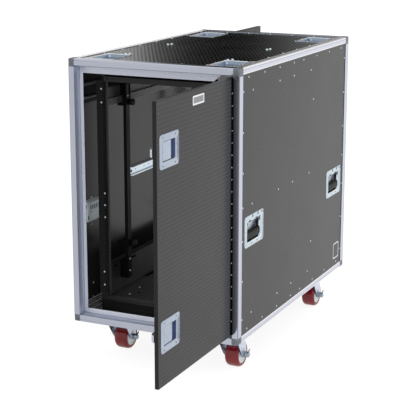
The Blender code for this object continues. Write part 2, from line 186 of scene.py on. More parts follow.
def laminate(name, plane, angle, dark, light, contrast, bump, rough, pitch=14.0, spec=0.5,
             edge=None, tint=(1, 1, 1), inner=None, weights=(1.0, 0.55, 0.55)):
    """Black phenolic laminate with a honeycomb emboss; edges show the stained board.
    The face towards the inside of the case can be smoother than the outer one."""
    m = Mat(name, rough=rough, spec=spec)
    h = hex_field(m, plane, pitch, angle, weights)
    fine = m.noise(m.coords((1, 1, 1)), 900, 2, 0.6)
    cloud = m.noise(m.coords((1, 1, 1)), 5.0, 4, 0.55)
    shade = m.span(h, -0.6, 1.0, 0.5 - contrast / 2, 0.5 + contrast / 2)
    shade = m.math("ADD", shade, m.span(fine, 0.3, 0.7, -0.05, 0.05))
    shade = m.math("ADD", shade, m.span(cloud, 0.3, 0.7, -0.05, 0.05))
    d = tuple(dark * t for t in tint)
    l = tuple(light * t for t in tint)
    col = m.mix(shade, d, l)
    if edge is not None:
        n = m.node("ShaderNodeSeparateXYZ")
        m.link(m.tc.outputs["Normal"], n.inputs[0])
        flat = m.math("ABSOLUTE", n.outputs["X" if plane == "yz" else "Z"])
        fac = m.span(flat, 0.5, 0.8, 1.0, 0.0)
        ply = m.coords((260, 1.2, 1.2) if plane == "yz" else (1.2, 1.2, 260))
        grain = m.noise(ply, 1.0, 3, 0.6)
        col = m.mix(fac, col, m.mix(grain, edge, tuple(c * 1.9 for c in edge)))
    r = m.math("ADD", m.span(cloud, 0.3, 0.7, rough - 0.03, rough + 0.04), m.span(h, -0.6, 1.0, 0.03, -0.03))
    if inner is not None:
        pos, nor = m.node("ShaderNodeSeparateXYZ"), m.node("ShaderNodeSeparateXYZ")
        m.link(m.tc.outputs["Object"], pos.inputs[0])
        m.link(m.tc.outputs["Normal"], nor.inputs[0])
        if plane == "yz":
            inward = m.span(m.math("MULTIPLY", pos.outputs["X"], nor.outputs["X"]), -0.05, 0.05, 1.0, 0.0)
        else:
            inward = m.span(nor.outputs["Z"], -0.6, -0.4, 1.0, 0.0)
        r = m.math("ADD", m.math("MULTIPLY", r, m.math("SUBTRACT", 1.0, inward)),
                   m.math("MULTIPLY", m.span(cloud, 0.3, 0.7, inner[0] - 0.01, inner[0] + 0.02), inward))
        h = m.math("MULTIPLY", h, m.span(inward, 0.0, 1.0, 1.0, 0.25))
        col = m.mix(inward, col, (inner[1], inner[1], inner[1] * 1.01))
    m.color(col)
    m.set("Roughness", r)
    nrm = m.bump(h, bump * MM, 0.8)
    m.set("Normal", m.bump(fine, 0.02 * MM, 0.5, nrm))
    return m.m


def brushed(name, base, axis, rough=0.19, streak=0.022, cloud_amt=0.015, metal=1.0):
    """Satin anodised extrusion: fine lines along its length and a soft cloudiness."""
    m = Mat(name, rough=rough, metal=metal)
    scale = {"x": (1.2, 300, 300), "y": (300, 1.2, 300), "z": (300, 300, 1.2), "n": (260, 260, 260)}[axis]
    line = m.noise(m.coords(scale), 1.0, 3, 0.6)
    cloud = m.noise(m.coords((1, 1, 1)), 9.0, 3, 0.5)
    v = m.math("ADD", m.span(line, 0.3, 0.7, 1 - streak, 1 + streak),
               m.span(cloud, 0.3, 0.7, -cloud_amt, cloud_amt))
    col = m.node("ShaderNodeVectorMath", operation="SCALE")
    col.inputs[0].default_value = base
    m.link(v, col.inputs["Scale"])
    m.link(col.outputs[0], m.bsdf.inputs["Base Color"])
    m.set("Roughness", m.math("ADD", m.span(line, 0.3, 0.7, rough - 0.03, rough + 0.03),
                              m.span(cloud, 0.3, 0.7, -0.02, 0.02)))
    m.set("Normal", m.bump(line, 0.004 * MM, 0.5))
    return m.m


def plated(name, base, rough=0.24, blotch=0.07, scuff=0.10, metal=1.0):
    """Zinc plate: faint bluish clouding, fine handling marks."""
    m = Mat(name, rough=rough, metal=metal)
    big = m.noise(m.coords((1, 1, 1)), 24.0, 4, 0.6)
    small = m.noise(m.coords((1, 1, 1)), 420.0, 2, 0.6)
    a = tuple(c * (1 - blotch) for c in base)
    b = (min(1, base[0] * (1 + blotch) + 0.02), min(1, base[1] * (1 + blotch)), min(1, base[2] * (1 + blotch * 0.6)))
    m.color(m.mix(m.span(big, 0.3, 0.7, 0, 1), a, b))
    m.set("Roughness", m.math("ADD", m.span(big, 0.35, 0.65, rough - 0.04, rough + 0.05),
                              m.span(small, 0.5, 0.75, 0.0, scuff)))
    m.set("Normal", m.bump(small, 0.012 * MM, 0.5))
    return m.m


def powder(name, dark, light, rough, spec=0.5):
    """Black powder coat with an orange-peel skin."""
    m = Mat(name, rough=rough, spec=spec)
    peel = m.noise(m.coords((1, 1, 1)), 700.0, 2, 0.5)
    cloud = m.noise(m.coords((1, 1, 1)), 12.0, 3, 0.5)
    m.color(m.mix(m.span(m.math("ADD", m.math("MULTIPLY", peel, 0.5), m.math("MULTIPLY", cloud, 0.5)),
                         0.35, 0.65, 0, 1), dark, light))
    m.set("Roughness", m.span(cloud, 0.3, 0.7, rough - 0.05, rough + 0.07))
    m.set("Normal", m.bump(peel, 0.05 * MM, 0.5))
    return m.m


def shading_gradient(name, front, back, dark, light):
    """Black lip, dark at its front and lighter towards its back edge: painted shading beside the rail."""
    m = Mat(name, rough=0.34, spec=0.3)
    pos = m.node("ShaderNodeSeparateXYZ")
    m.link(m.tc.outputs["Object"], pos.inputs[0])
    peel = m.noise(m.coords((1, 1, 1)), 700.0, 2, 0.5)
    fac = m.math("ADD", m.span(m.math("ABSOLUTE", pos.outputs["Y"]), front, back, 0.0, 1.0), m.span(peel, 0.3, 0.7, -0.06, 0.06))
    m.color(m.mix(m.span(fac, 0.0, 1.0, 0.0, 1.0), dark, light))
    m.set("Normal", m.bump(peel, 0.05 * MM, 0.5))
    return m.m


def rubber_mat(name, dark, light, rough, spec=0.4):
    m = Mat(name, rough=rough, spec=spec)
    pits = m.noise(m.coords((1, 1, 1)), 1500.0, 2, 0.7)
    cloud = m.noise(m.coords((1, 1, 1)), 40.0, 3, 0.5)
    m.color(m.mix(m.span(cloud, 0.3, 0.7, 0, 1), dark, light))
    m.set("Roughness", m.span(cloud, 0.3, 0.7, rough - 0.06, rough + 0.06))
    m.set("Normal", m.bump(pits, 0.04 * MM, 0.6))
    return m.m


def tread_mat(name):
    """Cast red polyurethane: glossy, slightly uneven, a little dust in the shoulders."""
    m = Mat(name, rough=0.2, spec=0.36)
    cloud = m.noise(m.coords((1, 1, 1)), 60.0, 4, 0.6)
    dust = m.noise(m.coords((1, 1, 1)), 260.0, 3, 0.6)
    col = m.mix(m.span(cloud, 0.35, 0.65, 0, 1), (0.150, 0.0035, 0.007), (0.215, 0.007, 0.011))
    col = m.mix(m.span(dust, 0.62, 0.8, 0.0, 0.25), col, (0.26, 0.06, 0.06))
    m.color(col)
    m.set("Roughness", m.span(cloud, 0.3, 0.7, 0.12, 0.22))
    m.set("Normal", m.bump(cloud, 0.08 * MM, 0.4))
    m.bsdf.inputs["Coat Weight"].default_value = 0.22
    m.bsdf.inputs["Coat Roughness"].default_value = 0.06
    return m.m


def cast_mat(name, dark, light, rough, metal=1.0):
    m = Mat(name, rough=rough, metal=metal)
    mottle = m.noise(m.coords((1, 1, 1)), 160.0, 4, 0.6)
    pits = m.voronoi(m.coords((1, 1, 1)), 900.0)
    m.color(m.mix(m.span(mottle, 0.3, 0.7, 0, 1), dark, light))
    m.set("Roughness", m.span(mottle, 0.3, 0.7, rough - 0.08, rough + 0.1))
    m.set("Normal", m.bump(pits, 0.05 * MM, 0.35, m.bump(mottle, 0.25 * MM, 0.4)))
    return m.m


SIDE = laminate("laminate_side", "yz", 90, 0.011, 0.020, 0.25, 0.006, 0.24, spec=0.29, edge=(0.006, 0.0055, 0.005), inner=(0.20, 0.031))
DOOR = laminate("laminate_door", "yz", 90, 0.002, 0.019, 1.0, 0.08, 0.28, spec=0.31, edge=(0.0035, 0.0035, 0.0035))
TOP = laminate("laminate_top", "xy", 28.6, 0.0005, 0.036, 1.0, 0.10, 0.13, spec=0.47, edge=(0.008, 0.007, 0.006), weights=(1.0, 0.25, 0.25),
               inner=(0.35, 0.020))
BASE = laminate("laminate_base", "xy", 30, 0.014, 0.024, 0.5, 0.02, 0.40, edge=(0.008, 0.007, 0.006))
ALU = (0.53, 0.56, 0.65)
ALU_X = brushed("aluminium_x", ALU, "x")
ALU_Y = brushed("aluminium_y", (0.62, 0.64, 0.73), "y")
ALU_Z = brushed("aluminium_z", ALU, "z", rough=0.14)
STRIP = brushed("aluminium_strip", (0.80, 0.81, 0.89), "n", rough=0.30, metal=0.35)
# darker copy of the strip aluminium for the upper stop strip: painted shade under the top extrusion
STRIP_TOP_SHADE = brushed("aluminium_strip_top_painted_shade", (0.60, 0.63, 0.72), "n", rough=0.30, metal=0.35)
# dark aluminium for the rounded nose of the jambs: painted shade
NOSE_SHADE = brushed("aluminium_nose_painted_shade", (0.20, 0.21, 0.25), "z", rough=0.30)
# darker bluish aluminium for the faces that look into the doorway: painted shade
RETURN_SHADE = brushed("aluminium_return_painted_shade", (0.56, 0.62, 0.76), "z", rough=0.42, metal=0.45)
# near-white aluminium for lips, beads, noses and lip curls: painted highlight
HIGHLIGHT = brushed("aluminium_painted_highlight", (0.93, 0.93, 0.95), "n", rough=0.30)
# near-white, barely metallic aluminium for the flange top of the left edges: painted highlight
PALE_HIGHLIGHT = brushed("aluminium_flange_painted_highlight", (0.90, 0.90, 0.93), "n", rough=0.40, metal=0.1)
# dark aluminium for the shallow lines of the edges, the left noses and the gap under the doorway extrusion: painted
# shade
SHADE_LINE = brushed("aluminium_painted_shade_line", (0.20, 0.21, 0.25), "n", rough=0.35)
ZINC = plated("zinc_bright", (0.70, 0.78, 0.84), rough=0.20)
ZINC_BACK = plated("zinc_back", (0.78, 0.88, 0.93), rough=0.34, metal=0.35)
# blue zinc, darker than the rim, for the inside of the stacking cups: painted shade in the recess
ZINC_BLUE_SHADE = plated("zinc_blue_painted_shade", (0.24, 0.31, 0.40), rough=0.16)
ZINC_RIM = plated("zinc_rim", (0.42, 0.46, 0.52), rough=0.20)
ZINC_LATCH = plated("zinc_latch", (0.415, 0.48, 0.58), rough=0.24)
# darker zinc for the deep recess of the latch plates: painted shade
ZINC_RECESS_SHADE = plated("zinc_recess_painted_shade", (0.12, 0.18, 0.33), rough=0.30, metal=0.5)
ZINC_DISH = plated("zinc_dish", (0.56, 0.66, 0.73), rough=0.22)
ZINC_FLOOR = plated("zinc_floor", (0.62, 0.70, 0.76), rough=0.50, metal=0.4)
# very dark zinc for openings, slots, notches, the bail gusset and the paddle barrel: painted shade
ZINC_SHADE = plated("zinc_dark_painted_shade", (0.035, 0.05, 0.095), rough=0.34)
ZINC_GREY = plated("zinc_grey", (0.17, 0.18, 0.20), rough=0.40, metal=0.6)
SLIDE = plated("slide_zinc", (0.64, 0.74, 0.82), rough=0.22)
STEEL = plated("fork_zinc", (0.66, 0.71, 0.84), rough=0.24)
# dark copy of the fork plating for the front edge of the legs: painted shade
FORK_EDGE_SHADE = plated("fork_edge_painted_shade", (0.10, 0.11, 0.14), rough=0.40, metal=0.7)
NUT = plated("nut_zinc", (0.33, 0.40, 0.46), rough=0.26)
RIVET = plated("rivet_steel", (0.62, 0.66, 0.68), rough=0.28)
RIVET_DARK = plated("rivet_dark", (0.20, 0.21, 0.22), rough=0.35)
RIVET_MID = plated("rivet_mid", (0.42, 0.45, 0.45), rough=0.30)
CAST = cast_mat("corner_casting", (0.11, 0.125, 0.145), (0.24, 0.255, 0.28), 0.32)
BLACK = powder("black_powder", (0.0035, 0.0035, 0.0038), (0.008, 0.008, 0.0085), 0.38, spec=0.3)
BLACK_RAIL = powder("black_rail", (0.0018, 0.0018, 0.002), (0.0045, 0.0045, 0.005), 0.45, spec=0.14)
# lighter black for the deep lower plate of the rack frame: painted light
BLACK_WEB_LIT = powder("black_web_painted_light", (0.045, 0.045, 0.046), (0.060, 0.060, 0.061), 0.42, spec=0.5)
# darker black for the front apron of the tray: painted shade
BLACK_APRON_SHADE = powder("black_apron_painted_shade", (0.014, 0.014, 0.0145), (0.022, 0.022, 0.0225), 0.42, spec=0.4)
# much lighter black for the lower flange of the upper bar and the wall channel flanges: painted highlight
BLACK_LIP_HIGHLIGHT = powder("black_lip_painted_highlight", (0.090, 0.090, 0.091), (0.125, 0.125, 0.126), 0.36, spec=0.6)
# lighter black for the upward deck of the tray: painted light
BLACK_DECK_LIT = powder("black_deck_painted_light", (0.032, 0.032, 0.0325), (0.045, 0.045, 0.0455), 0.32, spec=0.45)
# lighter black for the upper plate of the rack frame: painted light
BLACK_UPPER_LIT = powder("black_upper_web_painted_light", (0.105, 0.105, 0.106), (0.135, 0.135, 0.136), 0.42, spec=0.5)
# black that turns lighter towards the back edge of the rail lip: painted shading
RAIL_LIP_SHADING = shading_gradient("black_rail_lip_painted_shading", 0.508, 0.487, (0.004, 0.004, 0.0042), (0.105, 0.105, 0.105))
BLACK_FLAT = powder("black_leaf", (0.0012, 0.0012, 0.0014), (0.003, 0.003, 0.0035), 0.5, spec=0.12)
VOID = powder("deep_shadow", (0.0008, 0.0008, 0.0009), (0.0015, 0.0015, 0.0016), 0.7, spec=0.05)
GRIP = rubber_mat("grip_rubber", (0.002, 0.002, 0.0022), (0.006, 0.0056, 0.0054), 0.38, spec=0.13)
MOUNT = rubber_mat("mount_rubber", (0.003, 0.003, 0.003), (0.007, 0.007, 0.007), 0.6)
RED = tread_mat("wheel_red")
HUB = cast_mat("wheel_hub", (0.62, 0.66, 0.66), (0.78, 0.82, 0.82), 0.38, metal=0.15)
PLATE = brushed("badge_plate", (0.86, 0.86, 0.87), "n", rough=0.34, streak=0.03)
PLATE_FIELD = brushed("badge_field", (0.30, 0.31, 0.32), "n", rough=0.38, streak=0.03)
PLATE_DARK = brushed("badge_dark_field", (0.045, 0.045, 0.05), "n", rough=0.30, streak=0.03)


# ------------------------------------------------------------------ mesh helpers
class Build:
    """Gathers shapes in millimetres into one mesh."""

    def __init__(self):
        self.v, self.f, self.s, self.k = [], [], [], []

    def add(self, shape, slot=0, smooth=False, at=None):
        vs, fs = shape
        base = len(self.v)
        for p in vs:
            p = Vector(p)
            self.v.append((at @ p if at is not None else p) * MM)
        for k, f in enumerate(fs):
            self.f.append([base + i for i in f])
            self.s.append(slot[min(k, len(slot) - 1)] if isinstance(slot, (list, tuple)) else slot)
            self.k.append(smooth)
        return self

    def obj(self, name, mats, body, slot, bevel=0.0, segments=2, angle=35, sharp=35):
        me = bpy.data.meshes.new(name)
        me.from_pydata([tuple(v) for v in self.v], [], self.f)
        for m in (mats if isinstance(mats, (list, tuple)) else [mats]):
            me.materials.append(m)
        me.polygons.foreach_set("material_index", self.s)
        me.polygons.foreach_set("use_smooth", self.k)
        bm = bmesh.new()
        bm.from_mesh(me)
        bmesh.ops.recalc_face_normals(bm, faces=bm.faces)
        bm.to_mesh(me)
        bm.free()
        me.set_sharp_from_angle(angle=math.radians(sharp))
        ob = bpy.data.objects.new(name, me)
        bpy.context.scene.collection.objects.link(ob)
        if bevel:
            mod = ob.modifiers.new("edge", "BEVEL")
            mod.width = bevel * MM
            mod.segments = segments
            mod.limit_method = "ANGLE"
            mod.angle_limit = math.radians(angle)
            mod.harden_normals = False
        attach(ob, body)
        return ob


def box(x0, x1, y0, y1, z0, z1):
    vs = [(x, y, z) for x in (x0, x1) for y in (y0, y1) for z in (z0, z1)]
    return vs, [(0, 1, 3, 2), (4, 6, 7, 5), (0, 4, 5, 1), (2, 3, 7, 6), (0, 2, 6, 4), (1, 5, 7, 3)]


def place(axis, p, c):
    return {"x": (c, p[0], p[1]), "y": (p[0], c, p[1]), "z": (p[0], p[1], c)}[axis]


def loft(rings, closed=False, caps=True):
    n = len(rings[0])
    vs = [p for r in rings for p in r]
    fs = []
    pairs = [(i, i + 1) for i in range(len(rings) - 1)] + ([(len(rings) - 1, 0)] if closed else [])
    for a, b in pairs:
        for i in range(n):
            j = (i + 1) % n
            fs.append((a * n + i, a * n + j, b * n + j, b * n + i))
    if caps and not closed:
        fs.append(tuple(range(n))[::-1])
        fs.append(tuple((len(rings) - 1) * n + i for i in range(n)))
    return vs, fs


def prism(poly, axis, lo, hi):
    return loft([[place(axis, p, lo) for p in poly], [place(axis, p, hi) for p in poly]])


def spin(profile, n=24, axis="z", at=(0.0, 0.0)):
    """Turned body from (radius, height) points; ends on the axis close to a pole."""
    vs, fs, rows = [], [], []
    for r, h in profile:
        if r < 1e-6:
            rows.append([len(vs)])
            vs.append(place(axis, at, h))
            continue
        row = []
        for k in range(n):
            a = 2 * math.pi * k / n
            row.append(len(vs))
            vs.append(place(axis, (at[0] + r * math.cos(a), at[1] + r * math.sin(a)), h))
        rows.append(row)
    if len(rows[0]) > 1 and len(rows[-1]) > 1:
        rows.append(rows[0])
    for a, b in zip(rows, rows[1:]):
        for k in range(n):
            j = (k + 1) % n
            if len(a) == 1 and len(b) > 1:
                fs.append((a[0], b[j], b[k]))
            elif len(b) == 1 and len(a) > 1:
                fs.append((a[k], a[j], b[0]))
            elif len(a) > 1:
                fs.append((a[k], a[j], b[j], b[k]))
    return vs, fs


def rrect(cu, cv, hu, hv, r, n=5):
    """Rounded rectangle, counter-clockwise."""
    pts = []
    for su, sv, a0 in ((1, 1, 0), (-1, 1, 90), (-1, -1, 180), (1, -1, 270)):
        for k in range(n + 1):
            a = math.radians(a0 + 90 * k / n)
            pts.append((cu + su * (hu - r) + r * math.cos(a), cv + sv * (hv - r) + r * math.sin(a)))
    return pts


def circle(cu, cv, r, n=16, a0=0.0):
    return [(cu + r * math.cos(a0 + 2 * math.pi * k / n), cv + r * math.sin(a0 + 2 * math.pi * k / n))
            for k in range(n)]


def arc(cu, cv, r, a0, a1, n=5):
    return [(cu + r * math.cos(math.radians(a0 + (a1 - a0) * k / n)),
             cv + r * math.sin(math.radians(a0 + (a1 - a0) * k / n))) for k in range(n + 1)]


def plate(outer, holes, axis, lo, hi):
    """Flat plate with any number of holes right through it."""
    bm = bmesh.new()
    for loop in [outer] + list(holes):
        vs = [bm.verts.new(place(axis, p, lo)) for p in loop]
        for i in range(len(vs)):
            bm.edges.new((vs[i], vs[(i + 1) % len(vs)]))
    bmesh.ops.triangle_fill(bm, use_beauty=True, edges=bm.edges[:])
    bmesh.ops.dissolve_limit(bm, angle_limit=0.01, verts=bm.verts[:], edges=bm.edges[:], delimit={"NORMAL"})
    out = bmesh.ops.extrude_face_region(bm, geom=bm.faces[:], use_keep_orig=True)
    move = Vector(place(axis, (0, 0), hi - lo))
    for e in out["geom"]:
        if isinstance(e, bmesh.types.BMVert):
            e.co += move
    bm.verts.index_update()
    vs = [tuple(v.co) for v in bm.verts]
    fs = [tuple(v.index for v in f.verts) for f in bm.faces]
    bm.free()
    return vs, fs


def tube(path, radius, n=12, caps=True, squash=1.0):
    """Round bar along a smooth path; squash flattens it across the frame's second axis."""
    pts = [Vector(p) for p in path]
    rings, up = [], None
    for i, p in enumerate(pts):
        d = (pts[min(i + 1, len(pts) - 1)] - pts[max(i - 1, 0)]).normalized()
        if up is None:
            up = Vector((0, 0, 1)) if abs(d.z) < 0.9 else Vector((1, 0, 0))
        side = d.cross(up).normalized()
        up = side.cross(d).normalized()
        r = radius[i] if isinstance(radius, (list, tuple)) else radius
        rings.append([p + side * (r * math.cos(2 * math.pi * k / n)) + up * (r * squash * math.sin(2 * math.pi * k / n))
                      for k in range(n)])
    return loft(rings, caps=caps)


def facing(p, n, roll=0.0):
    return (Matrix.Translation(Vector(p)) @ Vector(n).to_track_quat("Z", "Y").to_matrix().to_4x4()
            @ Matrix.Rotation(roll, 4, "Z"))


def moved(p):
    return Matrix.Translation(Vector(p))


RIVET_SHAPE = spin([(0, -0.4), (3.7, -0.4), (3.7, 0.3), (3.2, 0.95), (2.2, 1.45), (1.35, 1.6), (1.15, 1.05),
                    (0, 0.95)], 16)
RIVET_LOW = spin([(0, -0.2), (2.7, -0.2), (2.7, 0.3), (2.3, 0.9), (1.4, 1.25), (0, 1.4)], 14)
RIVET_SMALL = spin([(0, -0.3), (2.8, -0.3), (2.8, 0.25), (2.3, 0.75), (1.3, 1.0), (0.9, 1.0), (0.8, 0.6), (0, 0.55)], 14)
SCREW = spin([(0, -0.5), (4.6, -0.5), (4.6, 0.5), (4.1, 1.6), (2.9, 2.3), (1.9, 2.5), (1.7, 1.1), (0, 1.0)], 14)
SCREW_RAIL = ([(x * 0.86, y * 0.86, z) for x, y, z in SCREW[0]], SCREW[1])
WASHER = spin([(0, -0.2), (7.5, -0.2), (7.5, 0.9), (6.8, 1.2), (0, 1.2)], 20)


def rivets(name, spots, mat, body, shape=RIVET_SHAPE, slot="zinc_plate"):
    b = Build()
    for i, (p, n) in enumerate(spots):
        b.add(shape, smooth=True, at=facing(p, n, roll=0.7 * i))
    return b.obj(name, mat, body, slot, sharp=50)


# ------------------------------------------------------------------ CAD nodes that stay, with finish
def dress(node, mat, bevel=0.0, segments=2, angle=40):
    ob = NODES[node]
    ob.data.materials.clear()
    ob.data.materials.append(mat)
    for p in ob.data.polygons:
        p.material_index = 0
    if bevel:
        mod = ob.modifiers.new("edge", "BEVEL")
        mod.width = bevel * MM
        mod.segments = segments
        mod.limit_method = "ANGLE"
        mod.angle_limit = math.radians(angle)


for n in ("left_panel", "right_panel"):
    dress(n, SIDE, 0.4)
dress("top_panel", TOP, 0.4)
dress("bottom_panel", BASE, 0.4)
for n in ("front_door", "rear_door"):
    dress(n, DOOR, 0.5)
for n in ("front_door_carriage", "rear_door_carriage"):
    dress(n, BLACK, 0.3)
dress("rack_base_tray", BLACK_DECK_LIT, 3.5, segments=4)


# ------------------------------------------------------------------ doorway end frames
def frame_profile(face, depth, flange=33.0, wall=2.0, r=3.6, line=True):
    """Section of a doorway extrusion: (inward from the side, back from the front)."""
    outer = [(0.0, flange)] + ([] if line else [(0.0, 4.6)]) + [(0.0, r)] + arc(r, r, r, 180, 270, 5)[1:]
    groove = [(face * 0.30, 0.0), (face * 0.30 + 0.35, 0.35), (face * 0.30 + 0.7, 0.0)]
    lip = arc(face - 0.9, 0.9, 0.9, 270, 360, 3)
    inner = [(face, depth), (face - wall, depth), (face - wall, wall), (wall, wall), (wall, flange)]
    return outer + (groove if line else []) + lip + inner


def return_slots(prof, face, plain, back, nose=None):
    """Slot of each side face: the faces that look into the doorway take the second one, a darker bluish aluminium as
    painted shade, the rounded nose of a jamb the third, a dark aluminium as painted shade."""
    out = []
    for k, (u, w) in enumerate(prof):
        u2, w2 = prof[(k + 1) % len(prof)]
        inside = u > face - 2.6 and u2 > face - 2.6 and max(w, w2) > 5.0
        out.append(back if inside else nose if nose is not None and max(u, u2) < 1.35 and max(w, w2) < 5.0 else plain)
    return out + [plain, plain]


for half, T in HALVES:
    b = Build()
    side_prof = frame_profile(23.0, 40.5, r=1.3, line=False)
    tb_prof = frame_profile(25.0, 40.5, r=1.6)
    for s in (-1, 1):
        pts = [(s * (HW - u), -HD + w) for u, w in side_prof]
        b.add(prism(pts, "z", Z0 + 25.0, Z0 + SH - 25.0), slot=return_slots(side_prof, 23.0, 0, 2, 3), at=T)
    for z, s in ((Z0 + SH, -1), (Z0, 1)):
        pts = [(-HD + w, z + s * u) for u, w in tb_prof]
        b.add(prism(pts, "x", -HW + 23.2, HW - 23.2), slot=return_slots(tb_prof, 25.0, 1, 2), at=T)
    rim = b.obj(half + "_doorway_extrusion", [ALU_Z, ALU_X, RETURN_SHADE, NOSE_SHADE], "shell", "aluminium_edge", bevel=0.25, segments=1)
    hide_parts(half + "_frame")
    # painted shadow: a dark line in the gap between the extrusion and the stop strips
    b = Build()
    for z in (Z0 + 974.0, Z0 + 24.4):
        b.add(box(-315.9, 315.9, -534.3, -532.6, z, z + 1.6), at=T)
    for x in (-316.2, 315.3):
        b.add(box(x, x + 0.9, -534.3, -532.6, Z0 + 25.0, Z0 + 975.0), at=T)
    b.add(box(-315.9, 315.9, -573.6, -572.2, Z0 + 973.7, Z0 + 975.2), at=T)
    b.obj(half + "_doorway_shadow_line", SHADE_LINE, "shell", "aluminium_edge", bevel=0.3)
    # stop strips on the rebate, the upper one ending in a slanting cut and taking a darker copy of the strip aluminium
    # as painted shade
    b = Build()
    y0, y1 = -533.4, -531.4
    b.add(prism([(-315.8, Z0 + 25.2), (-302.0, Z0 + 44.2), (-302.0, Z0 + 943.8), (-315.8, Z0 + 974.8)], "y", y0, y1), at=T)
    b.add(prism([(-315.5, Z0 + 974.9), (-301.9, Z0 + 944.0), (219.8, Z0 + 944.0), (251.4, Z0 + 970.0), (257.0, Z0 + 974.9)],
                "y", y0, y1), slot=1, at=T)
    b.add(prism([(-315.5, Z0 + 25.1), (-301.9, Z0 + 44.0), (226.0, Z0 + 44.0), (252.0, Z0 + 25.1)], "y", y0, y1), at=T)
    b.add(prism([(219.8, Z0 + 944.0), (251.4, Z0 + 970.0), (257.0, Z0 + 974.9), (257.0, Z0 + 971.0), (222.0, Z0 + 942.4)],
                "y", y0 + 0.3, y1 - 0.2), at=T)
    b.obj(half + "_door_stops", [STRIP, STRIP_TOP_SHADE], "shell", "aluminium_edge", bevel=0.5, segments=2)


# ------------------------------------------------------------------ long edge extrusions
def edge_profile(side, top, r=6.0):
    """(inward from the side, down from the top, slot): rolled nose, bead along the panel,
    two shallow lines on each flange. Slot 1 on the nose, bead and top strips is a painted highlight, slot 2 on the
    lines a painted shade."""
    pts = [(1.9, side, 1), (0.7, side - 0.7, 1), (0.0, side - 2.6, 1), (0.0, side - 3.6, 0), (0.0, side - 16.4, 2),
           (0.5, side - 16.8, 2), (0.0, side - 17.2, 0), (0.0, r, 1)]
    pts += [(u, w, 1) for u, w in arc(r, r, r, 180, 270, 7)[1:-1]] + [(r, 0.0, 0)]
    pts += [(r + 2.0, 0.0, 2), (r + 2.9, 0.7, 2), (r + 3.8, 0.0, 1), (top - 11.0, 0.0, 2), (top - 9.8, 0.9, 2),
            (top - 8.6, 0.2, 1), (top - 2.6, 0.2, 2), (top - 0.8, 1.1, 2), (top, 1.7, 2), (top, 2.0, 0), (2.2, 2.2, 0), (2.2, side, 0)]
    return pts


for s, name in ((-1, "left"), (1, "right")):
    for zz, sz, level in ((Z0 + SH, -1, "top"), (Z0, 1, "bottom")):
        prof = edge_profile(26.0, 30.0)
        if s < 0:
            # on the left edges the top of the nose takes the painted shade and the flange top the pale painted
            # highlight
            prof = [(u, w, 2 if 0.4 < u < 7.0 and w < 3.5 else 1 if 7.0 < u < 23.0 and w < 1.0 else k) for u, w, k in prof]
        b = Build().add(prism([(s * (HW - u), zz + sz * w) for u, w, _ in prof], "y", -540.7, 540.7),
                        slot=[k for _, _, k in prof] + [0, 0])
        ob = b.obj("%s_%s_edge_extrusion" % (level, name), [ALU_Y, HIGHLIGHT if s > 0 else PALE_HIGHLIGHT, SHADE_LINE], "shell", "aluminium_edge")
        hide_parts("%s_%s_edge" % (level, name))


# ------------------------------------------------------------------ corner castings
def casting(sx, sy, sz, height):
    """Three-faced cast corner with a rounded ball nose."""
    bm = bmesh.new()
    w, d, h = 24.8, 34.2, height
    x1, y1, z1 = sx * 339.7, sy * 574.7, (Z0 + SH + 0.7 if sz > 0 else Z0 - 0.7)
    cx, cy, cz = x1 - sx * w / 2, y1 - sy * d / 2, z1 - sz * h / 2
    bmesh.ops.create_cube(bm, size=1.0, matrix=Matrix.Translation((cx, cy, cz)) @ Matrix.Diagonal((w, d, h, 1)))
    near = [e for e in bm.edges
            if all(abs(v.co.x - x1) < 0.1 for v in e.verts) + all(abs(v.co.y - y1) < 0.1 for v in e.verts)
            + all(abs(v.co.z - z1) < 0.1 for v in e.verts) == 2]
    bmesh.ops.bevel(bm, geom=near, offset=5.5, segments=5, profile=0.5, affect="EDGES")
    bm.verts.index_update()
    out = [tuple(v.co) for v in bm.verts], [tuple(v.index for v in f.verts) for f in bm.faces]
    bm.free()
    return out


b = Build()
spots = []
for sx in (-1, 1):
    for sy in (-1, 1):
        for sz, height in ((1, 30.5), (-1, 27.0)):
            b.add(casting(sx, sy, sz, height), smooth=True)
            zc = (Z0 + SH - 14.0) if sz > 0 else (Z0 + 13.0)
            spots.append(((sx * 328.2, sy * 574.7, zc), (0, sy, 0)))
            spots.append(((sx * 339.7, sy * 557.5, zc), (sx, 0, 0)))
            if sz > 0:
                spots.append(((sx * 326.5, sy * 556.5, Z0 + SH + 0.7), (0, 0, 1)))
b.obj("corner_castings", CAST, "shell", "aluminium_edge", bevel=0.8, segments=2, sharp=30)
rivets("corner_screws", spots, RIVET_DARK, "shell")
# short tab of the upper casting that runs down the hinge-side jamb
b = Build()
for half, T in HALVES:
    b.add(prism(rrect(327.6, Z0 + SH - 33.0, 8.6, 8.5, 4.0), "y", -575.6, -573.8), at=T, smooth=False)
    b.add(RIVET_SMALL, smooth=True, at=T @ facing((328.0, -575.6, Z0 + 962.5), (0, -1, 0)), slot=1)
b.obj("hinge_side_tabs", [CAST, RIVET_DARK], "shell", "aluminium_edge", bevel=0.4)


